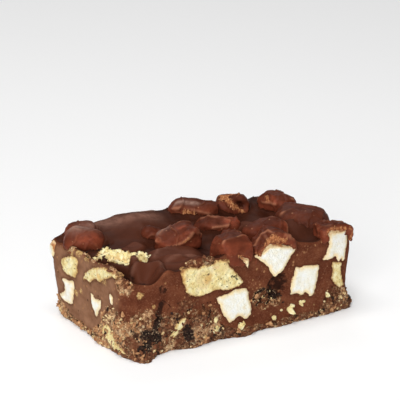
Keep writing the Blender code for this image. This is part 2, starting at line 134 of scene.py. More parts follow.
# Humps and hollows of the top: x, y, height, radius along x, radius along y. The two hills
# are thinly coated and so redder.
REAR_HILL = (-18.0, 15.5, 4.6, 13.0, 9.0)
RIGHT_HILL = (33.5, -9.5, 4.2, 10.0, 7.5)
TOP_FORMS = (
    REAR_HILL,
    RIGHT_HILL,
    (-14.0, 25.0, 3.0, 24.0, 6.0),
    (-14.0, -24.6, 3.4, 11.0, 4.5),
    (-29.5, -26.0, 2.4, 3.0, 4.0),
    (-34.0, -20.5, -6.8, 4.8, 4.4),
    (-39.4, -19.0, -4.0, 2.4, 4.0),
    (-44.6, -13.0, 2.6, 2.2, 8.0),
    (-44.6, 5.0, 1.6, 2.0, 9.0),
    (-1.5, -25.5, 2.2, 5.5, 2.4),
    (9.0, 18.0, 2.6, 14.0, 9.0),
    (34.0, 18.0, 1.8, 10.0, 7.0),
    (4.0, -6.0, -1.0, 12.0, 5.0),
    (25.0, -25.6, 2.0, 9.0, 3.0),
    (30.0, -18.0, -1.4, 7.0, 4.0),
)

# Marshmallows that the chocolate of the top covers: x, y, height, half length, half width, turn.
TOP_BLOCKS = (
    (-19.0, -11.4, 2.4, 11.0, 6.6, -14.0),
    (-20.5, -20.0, 1.4, 8.0, 4.6, -32.0),
    (-33.0, -18.6, 4.0, 6.4, 4.8, -24.0),
    (-32.6, -9.4, 2.4, 4.4, 1.8, 60.0),
    (-26.5, 2.5, 1.0, 5.0, 3.6, 20.0),
    (18.0, 3.0, 1.2, 6.0, 4.0, 15.0),
)

# Cracks of the top: width, depth, points as x, y. They are sunk and painted dark as shade.
CRACKS = (
    (1.5, 3.0, ((-42.6, 2.2), (-41.6, -1.6), (-41.0, -5.0), (-40.4, -9.0))),
    (1.8, 3.4, ((-40.4, -9.0), (-39.4, -13.0), (-38.2, -16.0))),
    (1.3, 2.4, ((-38.2, -16.0), (-38.6, -19.0), (-39.6, -21.6))),
    (0.8, 1.2, ((-43.6, 17.0), (-41.6, 11.0), (-36.0, 9.4), (-31.0, 10.6))),
)

# Soft crests of the covered marshmallows: width, points as x, y. They rise by CREST_HEIGHT and
# carry a painted highlight.
CREST_HEIGHT = 0.35
HUMP_CRESTS = (
    (0.8, ((-36.6, -15.4), (-33.4, -13.6), (-29.4, -14.2), (-27.6, -18.6))),
    (0.7, ((-27.6, -18.6), (-28.2, -22.4))),
    (0.9, ((-26.4, -12.0), (-22.0, -7.0), (-16.0, -5.2), (-10.6, -8.0))),
    (0.7, ((-24.0, -17.0), (-17.0, -16.4), (-10.0, -19.4))),
    (1.0, ((-29.0, 26.4), (-18.0, 25.6), (-6.0, 24.6))),
    (0.8, ((-34.6, -7.4), (-31.8, -10.0))),
)

# The four cut faces: outward direction, axis along the face, half size of the block.
FRONT = (Vector((0, -1, 0)), Vector((1, 0, 0)), HALF_WIDTH)
BACK = (Vector((0, 1, 0)), Vector((1, 0, 0)), HALF_WIDTH)
LEFT = (Vector((-1, 0, 0)), Vector((0, 1, 0)), HALF_LENGTH)
RIGHT = (Vector((1, 0, 0)), Vector((0, 1, 0)), HALF_LENGTH)
FACES = (FRONT, BACK, LEFT, RIGHT)

# Cuts of the chocolate and of the crumb layer along, across and up the block, in two rounds
# each, and the radius that rounds the chocolate's upper edge.
MASS_CUTS = ((12, 12), (9, 9), (6, 6))
BED_CUTS = ((11, 10), (8, 8), (3, 2))
EDGE_RADIUS = 1.3

# How far a cut piece stands out of the face, how deep its plug reaches in, and the sizes of the
# grains that the surfaces of plugs and lumps are rebuilt from. Vertices of a CAD solid that are
# nearer than WELD are one.
PROUD = 0.12
PLUG_DEPTH = 2.6
PLUG_GRAIN = 0.3
LUMP_GRAIN = 0.36
WELD = 0.01

# The chocolate round a cut piece: how far behind the face it counts, how wide its lip is, and
# how wide the step is by which it sinks under the piece.
FACE_DEPTH = 1.2
LIP_WIDTH = 0.7
SINK_WIDTH = 0.5

# How near a lump has to be for the chocolate to climb up its side, and how often a lump is
# smoothed to find which of its edges stand out.
CLIMB_REACH = 6.0
SOFTENING = 30

# Outlines of the cut marshmallows that the photograph shows: place along the face and height.
MARSHMALLOW_OUTLINES = {
    "marshmallow_front_square": (
        FRONT,
        ((22.0, 20.7), (23.8, 20.3), (25.8, 20.6), (27.9, 20.2), (31.5, 19.5), (31.3, 16.0),
         (30.7, 12.7), (29.4, 8.9), (27.9, 8.5), (26.9, 9.9), (26.0, 10.4), (24.8, 9.7),
         (22.4, 10.7), (19.8, 10.8), (20.2, 14.4), (21.0, 17.9)),
    ),
    "marshmallow_front_diamond": (
        FRONT,
        ((5.4, 27.7), (7.6, 28.6), (9.4, 30.2), (10.6, 31.4), (12.8, 31.2), (15.4, 30.6),
         (18.0, 29.2), (21.4, 28.1), (21.9, 27.2), (20.1, 25.4), (18.6, 23.0), (16.8, 20.6),
         (15.0, 19.5), (13.2, 18.9), (11.7, 20.8), (10.4, 23.2), (7.8, 25.5)),
    ),
    "marshmallow_front_low": (
        FRONT,
        ((-10.2, 15.7), (-8.0, 16.0), (-4.9, 16.6), (-2.7, 17.4), (0.3, 17.3), (1.8, 17.0),
         (2.6, 15.1), (3.1, 12.2), (4.1, 9.2), (3.4, 6.8), (2.0, 5.8), (0.9, 5.6), (-0.4, 6.9),
         (-1.6, 7.2), (-3.1, 6.0), (-5.1, 5.7), (-6.2, 7.2), (-7.4, 8.6), (-8.7, 12.2)),
    ),
    "marshmallow_front_corner": (
        FRONT,
        ((33.0, 21.0), (34.2, 22.9), (35.1, 25.4), (35.4, 28.0), (34.7, 31.0), (37.7, 31.5),
         (41.4, 30.9), (43.6, 31.0), (44.7, 29.6), (43.9, 25.6), (43.4, 22.8), (43.4, 19.2),
         (42.2, 18.6), (41.2, 19.8), (40.0, 18.8), (38.8, 21.2), (36.3, 20.8)),
    ),
    "marshmallow_left_upper": (
        LEFT,
        ((17.6, 15.3), (14.7, 15.7), (11.4, 16.2), (10.6, 14.2), (11.6, 10.5), (12.3, 7.3),
         (14.0, 6.6), (16.1, 6.4), (18.9, 6.6), (21.2, 8.2), (17.8, 10.3), (16.3, 12.7)),
    ),
    "marshmallow_left_lower": (
        LEFT,
        ((-0.9, 16.0), (-3.8, 15.3), (-8.2, 15.6), (-8.4, 13.7), (-6.8, 11.3), (-4.9, 8.5),
         (-2.7, 10.4), (-1.2, 12.7)),
    ),
    "marshmallow_left_chip": (
        LEFT,
        ((-14.3, 20.0), (-15.6, 20.5), (-16.9, 19.4), (-16.6, 17.2), (-15.0, 16.8)),
    ),
    "marshmallow_left_rear": (
        LEFT,
        ((26.8, 26.0), (24.4, 27.0), (22.0, 26.4), (21.6, 24.6), (22.4, 21.6), (24.6, 20.8),
         (26.8, 21.6), (27.2, 24.0)),
    ),
}

# Marshmallows whose top takes its colour from the coat over it, with the height where that is
# strongest. It fades over STAIN_DEPTH below, counts as STAIN_SHIFT nearer to the rim, and no
# piece reaches UNSTAINED.
STAINED_TOPS = {
    "marshmallow_left_rear": 27.6,
    "marshmallow_front_diamond": 32.0,
    "marshmallow_front_corner": 32.4,
    "lump_front_block_grazed": 30.0,
}
STAIN_DEPTH = 4.5
STAIN_SHIFT = 2.2
UNSTAINED = 99.0

# Marshmallow that shows where the knife grazed a coated lump. It belongs to that lump.
GRAZED_OUTLINES = {
    "lump_front_block_grazed": (
        FRONT,
        ((-1.7, 29.2), (0.2, 28.6), (2.7, 27.6), (2.7, 24.8), (2.3, 23.6), (1.3, 25.8),
         (-0.3, 27.6)),
    ),
}

# Cut marshmallows of the faces that the photograph doesn't show: face, place along it, height,
# width, tall, tilt, seed.
MARSHMALLOW_BLOCKS = {
    "marshmallow_back_tall": (BACK, 31.0, 14.2, 9.6, 11.4, -8, 9),
    "marshmallow_back_diamond": (BACK, 8.0, 17.5, 11.0, 10.4, -38, 10),
    "marshmallow_back_low": (BACK, -17.0, 10.8, 11.4, 9.0, 12, 11),
    "marshmallow_right_high": (RIGHT, 2.0, 20.0, 11.0, 9.6, 16, 12),
    "marshmallow_right_low": (RIGHT, -13.0, 12.6, 8.6, 9.8, -9, 13),
}

# Outlines of the cut pieces of biscuit that the photograph shows.
BISCUIT_OUTLINES = {
    "biscuit_front_long": (
        FRONT,
        ((-24.0, 27.2), (-22.6, 28.6), (-20.0, 28.9), (-17.1, 28.2), (-15.1, 28.8), (-12.2, 28.2),
         (-9.7, 29.3), (-6.2, 28.4), (-4.7, 26.2), (-2.7, 23.8), (-0.4, 20.9), (0.6, 19.0),
         (-2.7, 18.0), (-6.2, 17.6), (-10.7, 18.6), (-14.6, 17.6), (-18.6, 17.8), (-21.5, 19.3),
         (-22.4, 21.6), (-23.4, 24.0)),
    ),
    "biscuit_front_end": (
        FRONT,
        ((36.9, 19.4), (39.5, 19.1), (41.7, 18.2), (42.2, 14.8), (43.4, 11.6), (44.4, 9.4),
         (41.9, 9.0), (39.7, 10.2), (37.3, 13.2), (37.6, 16.4)),
    ),
    "biscuit_front_splinter": (
        FRONT,
        ((-22.3, 11.2), (-22.1, 8.8), (-24.5, 6.5), (-27.4, 4.6), (-28.8, 5.6), (-27.4, 8.0),
         (-25.9, 10.0)),
    ),
    "biscuit_left_round": (
        LEFT,
        ((17.6, 22.4), (14.8, 24.3), (11.6, 25.6), (8.2, 25.4), (7.4, 24.0), (8.4, 22.6),
         (7.8, 20.6), (9.9, 18.1), (13.7, 17.4), (16.9, 18.7)),
    ),
    "biscuit_left_ledge": (
        LEFT,
        ((4.0, 18.9), (3.6, 21.4), (1.4, 23.4), (-2.0, 25.4), (-6.3, 27.3), (-9.6, 28.2),
         (-12.4, 28.9), (-15.2, 28.6), (-17.8, 29.0), (-20.2, 28.6), (-19.6, 27.4), (-17.0, 27.2),
         (-14.6, 26.0), (-12.2, 24.8), (-10.0, 23.8), (-7.6, 22.0), (-5.6, 22.8), (-2.8, 21.2),
         (-0.3, 19.4), (1.8, 20.2)),
    ),
    "biscuit_left_splinter": (
        LEFT,
        ((-8.8, 6.0), (-11.0, 8.2), (-12.9, 8.9), (-15.6, 8.3), (-17.3, 6.4), (-18.7, 4.6),
         (-22.6, 2.0), (-20.6, 1.0), (-17.6, 1.0), (-13.6, 2.5), (-10.6, 4.0)),
    ),
}

# Places where chocolate sticks to the biscuit of the top: x, y, z, radius, strength.
CRUSTS = (
    (-30.0, 1.0, 28.4, 2.6, 1.0),
    (-32.4, -5.4, 27.6, 1.8, 0.8),
    (-40.5, 6.4, 28.0, 2.4, 0.8),
    (-28.0, -9.4, 29.6, 1.4, 0.8),
    (-31.6, -11.4, 27.6, 1.6, 0.7),
)

# Pits and cracks of the long piece of biscuit, painted near black as shade: width, points.
BISCUIT_PITS = (
    (0.7, ((-4.2, -26.5, 22.5), (-2.8, -26.5, 22.2), (-2.5, -26.5, 21.2))),
    (0.45, ((-8.4, -26.5, 19.8), (-6.5, -26.5, 20.9), (-4.7, -26.5, 21.5))),
    (0.35, ((-1.8, -26.5, 20.0), (-1.0, -26.5, 19.4))),
    (0.4, ((-21.6, -26.5, 28.2), (-20.4, -26.5, 27.9))),
    (0.45, ((-18.4, -26.5, 27.3), (-17.2, -26.5, 28.0))),
    (0.4, ((-15.0, -26.5, 28.2), (-12.7, -26.5, 27.6), (-11.2, -26.5, 28.0))),
    (0.3, ((-20.8, -26.5, 24.8), (-20.6, -26.5, 24.6))),
    (0.3, ((-16.6, -26.5, 26.4), (-16.2, -26.5, 26.2))),
)

# Toasted patches of the same piece: x, y, z, radius, strength.
TOASTED_PLACES = (
    (-15.4, -26.0, 23.6, 4.6, 0.7),
    (-8.6, -26.0, 27.0, 4.0, 0.7),
    (-19.4, -26.0, 18.6, 2.6, 0.5),
    (-3.0, -26.0, 24.0, 2.6, 0.5),
)

# Cut biscuit of the faces that the photograph doesn't show, listed as the marshmallows are.
BISCUIT_BLOCKS = {
    "biscuit_back_long": (BACK, -27.5, 22.0, 17.5, 8.4, -6, 27),
    "biscuit_back_slab": (BACK, 20.5, 7.6, 13.5, 6.4, 10, 28),
    "biscuit_right_round": (RIGHT, 17.0, 15.0, 9.0, 8.6, 20, 30),
}

# Pieces of biscuit that lie in the top, with the seed of each one's skin.
TOP_BISCUITS = {"biscuit_top_broken": 80, "biscuit_top_chip": 81}

# Crumbs of biscuit that show in the faces: face, place along it, height, size.
FACE_CRUMB_SEED = 17
FACE_CRUMBS = (
    (FRONT, 19.6, 5.6, 3.8),
    (FRONT, 20.6, 6.6, 2.2),
    (FRONT, 24.2, 6.8, 1.9),
    (FRONT, 25.2, 7.3, 1.3),
    (FRONT, 35.2, 7.7, 2.0),
    (FRONT, 13.2, 3.6, 2.4),
    (FRONT, 16.3, 5.8, 1.2),
    (FRONT, -0.6, 3.6, 2.6),
    (FRONT, 0.6, 4.4, 1.5),
    (FRONT, -10.4, 7.9, 2.0),
    (FRONT, -10.2, 4.6, 2.6),
    (FRONT, -11.4, 3.4, 1.6),
    (BACK, 39.0, 21.0, 2.6),
    (BACK, 18.0, 22.6, 2.2),
    (BACK, -7.0, 21.5, 2.0),
    (RIGHT, -7.4, 9.0, 2.2),
    (RIGHT, 8.5, 11.0, 2.0),
)

# Places where the chocolate is crumbly: x, y, z, radius, strength.
CRUMBLY_PLACES = (
    (-38.0, -26.0, 8.0, 10.0, 1.0),
    (-27.0, -26.0, 7.0, 8.0, 0.9),
    (-15.0, -26.0, 8.0, 7.5, 0.8),
    (-22.0, -26.0, 15.0, 5.0, 0.5),
    (8.4, -26.0, 11.8, 5.0, 1.0),
    (13.6, -26.0, 10.6, 3.8, 0.7),
    (39.0, -25.0, 4.0, 7.0, 1.0),
    (-45.0, -17.0, 9.0, 9.0, 0.9),
    (-45.0, 24.0, 3.0, 5.0, 0.7),
    (-44.5, -23.0, 26.0, 4.6, 0.8),
    (-43.4, -16.0, 29.5, 2.6, 0.7),
    (-43.4, -9.0, 29.5, 2.4, 0.6),
    (-43.6, -2.0, 28.6, 2.2, 0.7),
    (-43.0, 5.0, 28.4, 2.2, 0.6),
    (-44.4, 13.0, 27.4, 2.2, 0.6),
    (-20.0, -26.5, 29.5, 3.4, 0.8),
    (-13.0, -26.5, 29.8, 3.4, 0.8),
    (20.0, 26.0, 5.0, 8.0, 0.9),
    (-36.0, 26.0, 4.0, 6.0, 0.7),
    (45.0, 10.0, 4.0, 8.0, 0.9),
    (44.5, 16.0, 27.5, 4.0, 0.7),
)

# Places whose crumbs are pale: x, y, z, radius, strength.
PALE_PLACES = (
    (-46.0, -18.0, 28.5, 5.0, 1.0),
    (-45.4, -10.0, 28.5, 4.6, 1.0),
    (-45.0, -2.0, 27.5, 4.4, 1.0),
    (-44.0, 6.0, 26.8, 5.0, 1.0),
    (-44.4, 12.0, 26.5, 3.6, 0.8),
    (-45.6, -24.0, 22.0, 4.4, 0.8),
    (-46.0, -8.0, 3.0, 9.0, 0.9),
    (-46.5, -18.0, 9.0, 8.0, 1.0),
    (-45.6, 22.0, 3.0, 7.0, 1.0),
    (-46.0, 8.0, 1.0, 6.0, 0.9),
    (-42.6, -27.0, 11.4, 4.0, 1.0),
    (-36.8, -27.0, 14.6, 2.8, 0.9),
    (-29.0, -27.5, 3.4, 3.4, 0.8),
    (-16.6, -27.0, 4.0, 4.4, 0.9),
    (-10.4, -27.0, 4.4, 3.2, 0.9),
    (-8.0, -27.0, 10.0, 2.6, 0.6),
    (8.0, -27.0, 0.0, 8.0, 0.12),
    (22.0, -27.0, 0.0, 9.0, 0.12),
    (36.0, -27.0, 0.0, 8.0, 0.12),
    (43.0, -26.0, 7.0, 2.4, 0.6),
    (45.0, 8.0, 3.0, 8.0, 0.8),
    (30.0, 28.0, 2.0, 8.0, 0.8),
    (-36.0, 26.0, 3.0, 6.0, 0.8),
)

# How much paler the left face is painted, as painted light, and where along it that fades
# towards the front corner.
PAINTED_SIDE_LIGHT = 0.8
SIDE_LIGHT_FADE = (-26.0, -13.0)

# Smears of biscuit in the cut chocolate: x, y, z, radius, strength.
TAN_PLACES = (
    (-44.6, 14.0, 27.6, 2.6, 0.7),
    (-44.6, 8.0, 28.4, 2.8, 0.8),
    (-44.6, 2.0, 28.0, 2.4, 0.7),
    (-44.6, -6.0, 29.4, 2.0, 0.6),
    (-44.8, -21.0, 26.4, 2.6, 0.7),
    (-45.2, -25.0, 27.4, 2.6, 0.7),
    (-43.4, -26.2, 26.0, 2.4, 0.6),
    (-39.6, -26.0, 22.2, 1.7, 0.9),
    (-44.8, -26.0, 24.6, 1.9, 0.9),
    (-45.0, -25.4, 21.2, 1.5, 0.7),
    (-34.6, -26.0, 17.6, 0.9, 0.9),
    (-45.0, -23.6, 27.0, 1.8, 0.8),
    (-45.0, 9.9, 12.4, 1.4, 1.0),
    (-45.0, 6.4, 14.4, 1.3, 0.9),
    (-45.0, 20.6, 17.4, 0.8, 0.8),
    (-45.0, -14.0, 11.6, 1.3, 0.6),
    (-45.0, 12.6, 27.0, 2.2, 0.8),
    (-45.0, 22.0, 24.4, 1.6, 0.5),
    (-45.0, -11.0, 23.8, 2.4, 0.6),
    (24.2, -26.0, 9.9, 0.7, 0.9),
    (29.6, -26.0, 5.2, 0.7, 0.7),
    (-6.6, -26.0, 27.6, 2.2, 0.6),
)

# Places that are nearly black, as x, y, z, radius, strength, and strokes of it, as width and
# points: dark chocolate crumb, and painted shade in the hollow of the top's front left corner.
DARK_PLACES = (
    (-39.0, -28.0, 4.5, 2.6, 0.7),
    (-21.4, -27.0, 4.6, 3.0, 0.7),
    (-21.6, -27.0, 7.6, 2.2, 0.6),
    (-31.2, -26.0, 23.2, 2.3, 0.7),
    (-35.5, -20.0, 20.4, 5.0, 0.9),
    (-28.6, -26.0, 14.6, 2.0, 0.4),
    (5.6, -26.0, 13.6, 1.3, 0.5),
    (8.2, -26.0, 10.4, 1.2, 0.5),
    (-30.0, 26.0, 8.0, 3.0, 0.8),
    (24.0, 26.0, 12.0, 2.4, 0.7),
)
DARK_STROKES = (
    (0.6, ((4.6, -26.2, 12.0), (6.4, -26.2, 14.4), (9.0, -26.2, 15.2))),
    (0.5, ((6.0, -26.2, 9.6), (7.8, -26.2, 12.2), (11.0, -26.2, 13.4))),
    (0.5, ((9.4, -26.2, 9.6), (12.4, -26.2, 11.2), (14.6, -26.2, 10.4))),
    (1.6, ((-31.8, -26.4, 17.8), (-33.1, -26.6, 12.5), (-34.4, -27.0, 8.4))),
    (2.2, ((-39.2, -27.4, 9.0), (-36.0, -27.4, 7.4), (-33.4, -27.4, 5.4))),
    (1.5, ((-41.0, -29.0, 3.6), (-38.0, -28.2, 4.6))),
    (0.8, ((-46.4, -21.0, 7.0), (-46.4, -23.6, 4.6), (-45.6, -26.6, 3.0))),
    (0.35, ((-31.4, -26.2, 19.3), (-30.4, -26.2, 18.6), (-28.4, -26.2, 16.6))),
    (0.45, ((-28.4, -26.2, 16.6), (-27.2, -26.3, 14.2), (-28.2, -26.4, 12.0))),
    (0.8, ((-16.4, -26.6, 13.6), (-14.4, -26.6, 15.2))),
    (0.9, ((-13.2, -26.8, 9.0), (-12.4, -26.8, 11.8))),
    (0.7, ((-9.4, -26.6, 3.6), (-8.0, -26.6, 5.6))),
    (0.6, ((-21.6, -26.4, 13.6), (-19.4, -26.4, 14.0))),
)

# The hollow in the front that a lost crumb left, painted dark as shade: along, height, length,
# width, tilt.
CAVITY = (15.2, 15.0, 6.4, 4.7, 50.0)
CAVITY_DEPTH = 2.4

# Loose crumbs: name, how many, smallest and largest size, the kind of place where they lie, and
# three near tones.
LOOSE_CRUMBS = (
    ("brown", 900, 0.4, 2.0, "brown", ((78, 42, 27), (108, 64, 41), (134, 86, 57))),
    ("tan", 1000, 0.4, 2.0, "pale", ((140, 94, 62), (176, 128, 88), (208, 162, 116))),
    ("pale", 560, 0.35, 1.3, "pale", ((196, 158, 104), (222, 194, 142), (236, 218, 176))),
    ("dark", 560, 0.35, 1.4, "dark", ((30, 19, 15), (48, 30, 22), (70, 44, 31))),
)

# How the coated lumps differ: how red their thin coat is, how wrinkled they are, and how much
# larger than the CAD solid they are along x, y and z, with the height that stays in place, and
# how far the chocolate climbs up their sides.
LUMP_LOOKS = {
    "lump_left_edge": (0.95, 0.4, (1.06, 1.04, 1.0), 28.0, 0.9),
    "lump_left_rear": (0.7, 0.5, (1.04, 1.04, 1.0), 28.0, 1.6),
    "lump_hill_small": (0.6, 0.6, (1.1, 1.0, 1.0), 29.0, 1.2),
    "lump_middle_ridged": (0.9, 0.8, (1.04, 1.06, 1.08), 27.0, 0.8),
    "lump_rear_long": (0.6, 0.6, (1.02, 1.02, 1.0), 28.0, 1.0),
    "lump_rear_hollowed": (0.6, 0.8, (1.22, 1.1, 0.98), 28.0, 1.0),
    "lump_rear_right": (0.9, 0.9, (1.06, 1.04, 0.86), 28.0, 0.8),
    "lump_right_great": (-0.12, 0.25, (1.1, 1.2, 0.97), 27.0, 1.2),
    "lump_middle_tablet": (0.75, 0.9, (1.14, 1.05, 1.04), 27.0, 0.8),
    "lump_front_block": (0.85, 0.3, (0.94, 1.0, 1.13), 28.0, 0.9),
    "lump_front_behind": (0.8, 0.6, (1.1, 1.1, 1.2), 27.0, 0.9),
    "lump_front_bolster": (0.95, 0.3, (1.08, 1.1, 1.04), 27.0, 0.6),
    "lump_right_rear": (0.5, 0.6, (1.0, 1.0, 1.0), 27.0, 1.2),
    "coat_front_diamond": (0.7, 0.8, (1.04, 1.0, 1.02), 30.0, 1.2),
    "coat_front_corner": (0.8, 0.8, (1.0, 1.0, 1.0), 30.0, 1.2),
}

# How much narrower a lump is at its top than at its foot, and how much rounder than its solid.
PLAIN_TAPER = 0.05
TAPERS = {
    "lump_left_edge": 0.3,
    "lump_left_rear": 0.2,
    "lump_rear_long": 0.1,
    "lump_right_great": 0.15,
}
ROUNDED = {"lump_left_edge": 1.6}

# Strokes on the coated lumps: width, points. A crest is a raised pale edge, a painted highlight is
# greyish, a tear shows tan, a blush is red, and a hollow, which has a depth after its width, is
# sunk and painted dark as shade.
CRESTS = (
    (0.8, ((-18.9, -1.5, 30.0), (-17.4, -5.4, 29.4), (-15.4, -6.6, 29.4), (-12.6, -7.4, 30.4),
           (-10.4, -7.9, 31.8), (-9.0, -8.0, 33.2))),
    (0.8, ((-17.6, -0.6, 32.0), (-14.4, 0.6, 33.4), (-10.0, 0.6, 34.2), (-6.4, -1.2, 34.0))),
    (0.7, ((-7.4, -6.6, 33.4), (-4.8, -5.6, 32.0), (-4.2, -4.4, 30.0))),
    (0.7, ((4.6, 8.4, 30.6), (9.8, 5.6, 31.2), (14.8, 4.4, 30.8))),
    (0.6, ((6.1, 3.6, 28.9), (8.9, 2.2, 29.2), (11.4, 1.2, 29.4))),
    (0.6, ((-7.0, -24.0, 33.0), (-5.0, -23.6, 34.6), (-1.0, -23.4, 35.0), (2.6, -22.6, 34.4),
           (4.8, -21.6, 32.4))),
    (0.7, ((-2.0, -17.0, 34.6), (2.4, -16.0, 34.2), (5.0, -16.4, 32.8))),
    (0.8, ((14.0, -7.4, 32.6), (18.0, -8.2, 33.8), (22.0, -9.6, 34.0), (24.6, -11.4, 33.6))),
    (0.7, ((25.4, -12.0, 33.0), (25.6, -13.8, 30.8), (25.0, -14.6, 29.0))),
    (0.8, ((-0.4, 20.6, 32.0), (2.4, 18.0, 32.8), (6.8, 15.6, 31.4), (10.8, 14.2, 30.2),
           (15.4, 12.6, 28.8))),
    (0.8, ((26.8, 20.6, 32.8), (29.0, 18.6, 32.2), (29.4, 16.4, 30.6))),
    (0.7, ((33.3, 13.1, 30.8), (34.8, 10.9, 31.0), (36.2, 9.3, 30.6))),
    (0.8, ((38.0, 10.7, 34.2), (41.3, 8.1, 32.8), (42.8, 8.4, 31.2))),
    (0.9, ((28.4, -5.9, 32.2), (31.0, -6.1, 33.8), (35.3, -6.6, 34.4), (38.8, -5.6, 34.6),
           (42.6, -8.0, 33.8))),
    (0.9, ((7.4, -22.4, 29.6), (10.8, -21.4, 32.6), (13.1, -21.9, 34.2), (13.4, -25.0, 34.2))),
    (0.8, ((17.0, -26.3, 33.5), (19.8, -26.2, 31.7), (22.4, -25.6, 29.6))),
    (0.8, ((33.6, -22.0, 31.0), (34.7, -24.4, 32.8), (37.2, -26.2, 33.2), (42.0, -26.2, 32.8))),
    (0.8, ((-41.6, 17.6, 32.6), (-37.4, 14.0, 33.0), (-32.6, 12.6, 32.4))),
)
PAINTED_HIGHLIGHTS = (
    (2.8, ((-41.0, 18.6, 33.4), (-34.6, 17.6, 33.2))),
    (1.0, ((-2.0, 21.2, 33.0), (2.0, 20.8, 33.8), (8.0, 17.4, 33.4))),
    (3.6, ((-30.0, 23.0, 31.4), (-20.0, 20.0, 32.2), (-10.0, 19.0, 31.8))),
    (1.6, ((-17.0, 1.0, 32.4), (-13.0, 2.0, 34.0))),
)
TEARS = (
    (1.1, ((2.9, 17.5, 31.2), (5.4, 16.2, 30.6))),
    (1.3, ((20.1, 20.8, 33.0), (20.2, 16.3, 32.6), (21.8, 14.3, 30.8), (24.6, 13.3, 28.4))),
    (1.8, ((19.4, 18.4, 32.8), (22.1, 18.8, 33.4), (24.8, 18.4, 33.6))),
    (0.9, ((34.0, 12.7, 33.4), (34.3, 11.5, 32.0))),
    (0.5, ((-12.6, -7.6, 30.4), (-10.4, -8.1, 31.8))),
    (1.3, ((10.6, -25.8, 32.4), (13.4, -26.4, 33.0), (16.4, -26.4, 31.6))),
    (0.9, ((35.4, -26.2, 31.6), (38.6, -26.6, 31.8), (42.0, -26.6, 31.6))),
)
BLUSHES = (
    (3.0, ((-40.8, 12.6, 30.0), (-36.3, 11.2, 30.4))),
    (1.1, ((-11.6, -3.4, 34.0), (-8.8, -4.6, 34.4))),
    (1.6, ((-7.4, -24.2, 31.6), (-6.6, -24.4, 33.0))),
    (1.6, ((3.0, -22.8, 33.4), (4.2, -22.2, 32.0))),
    (1.2, ((35.6, 10.6, 33.4), (36.2, 9.2, 31.0))),
    (2.2, ((12.0, 2.6, 29.6), (14.6, 2.4, 29.4))),
    (1.8, ((24.8, -14.0, 31.0), (23.6, -14.6, 29.4))),
)
HOLLOWS = (
    (0.9, 0.8, ((-8.4, -4.6, 34.4),)),
    (2.0, 2.8, ((23.9, 13.4, 32.2), (24.8, 13.0, 31.0))),
    (0.6, 0.5, ((4.2, 15.9, 29.2), (8.8, 14.0, 28.6))),
)


def ripple(point, scale, seed):
    """Smooth noise from -1 to 1 whose lumps are about `scale` millimetres across."""
    return noise.noise(point / scale + Vector((seed * 7.3, seed * 3.1, seed * 5.7)))


def crag(point, scale, seed):
    """Noise from 0 to 1 with sharp crests, about `scale` millimetres apart."""
    return 1.0 - min(1.0, 2.0 * abs(ripple(point, scale, seed)))


def smooth_step(low, high, value):
    """0 below `low`, 1 above `high`, and a soft rise between them."""
    share = min(1.0, max(0.0, (value - low) / (high - low)))
    return share * share * (3.0 - 2.0 * share)


def hill(x, y, form):
    """The height that a hump or heap has at x, y."""
    centre_x, centre_y, height, radius_x, radius_y = form
    return height * math.exp(-(((x - centre_x) / radius_x) ** 2) - ((y - centre_y) / radius_y) ** 2)


def crumb_top(x, y):
    """Level of the boundary between the crumb layer and the chocolate."""
    level = CRUMB_DEPTH + sum(hill(x, y, heap) for heap in CRUMB_HEAPS)
    height, size = CRUMB_WAVES
    return level + height * ripple(Vector((x, y, 0)), size, 1)


def block_height(x, y, form):
    """The height at x, y of a block under the chocolate, flat on top and steep at its sides."""
    centre_x, centre_y, height, long, wide, turn = form
    offset = Matrix.Rotation(math.radians(-turn), 2) @ Vector((x - centre_x, y - centre_y))
    reach = (abs(offset.x / long) ** 3 + abs(offset.y / wide) ** 3) ** (1 / 3)
    return height * smooth_step(1.12, 0.62, reach)


def covered_share(x, y):
    """How much of a covered block lies under x, y, from 0 to 1."""
    hill_share = max(hill(x, y, form) / form[2] for form in (REAR_HILL, RIGHT_HILL))
    return max(0.8 * hill_share, *(block_height(x, y, form) / form[2] for form in TOP_BLOCKS))


def slab_top(x, y):
    """Level of the chocolate's top."""
    level = TOP_LEVEL + sum(hill(x, y, form) for form in TOP_FORMS)
    level += sum(block_height(x, y, form) for form in TOP_BLOCKS)
    for seed, (height, size) in enumerate(TOP_WAVES, 2):
        level += height * ripple(Vector((x, y, 0)), size, seed)
    return level


def side_push(x, y, z):
    """How far a point of the block moves sideways: the toes, the waves of the cut faces."""
    push = Vector((0, 0, 0))
    for toe_x, toe_y, along, across, radius, height in TOES:
        near = math.exp(-(((x - toe_x) ** 2 + (y - toe_y) ** 2) / radius**2))
        push += Vector((along, across, 0)) * near * max(0.0, 1 - z / height)
    for swell_x, swell_y, swell_z, along, across, radius in SWELLS:
        away = (x - swell_x) ** 2 + (y - swell_y) ** 2 + (z - swell_z) ** 2
        push += Vector((along, across, 0)) * math.exp(-away / radius**2)
    edge_x = max(0.0, abs(x) / HALF_LENGTH - EDGE_SHARE) / (1 - EDGE_SHARE)
    edge_y = max(0.0, abs(y) / HALF_WIDTH - EDGE_SHARE) / (1 - EDGE_SHARE)
    depth, size = CUT_WAVES
    wave = depth * ripple(Vector((x, y, z)), size, 4)
    push.x += math.copysign(edge_x * wave, x)
    push.y += math.copysign(edge_y * wave, y)
    corner = CORNER_ROUNDING * edge_x * edge_y
    push.x -= math.copysign(corner, x)
    push.y -= math.copysign(corner, y)
    return push


def strength_at(point, places):
    """How strongly a list of places marks a point, from 0 to 1."""
    strongest = 0.0
    for x, y, z, radius, strength in places:
        away = (point - Vector((x, y, z))).length / radius
        strongest = max(strongest, strength * smooth_step(1.25, 0.45, away) if away < 1.25 else 0.0)
    return strongest


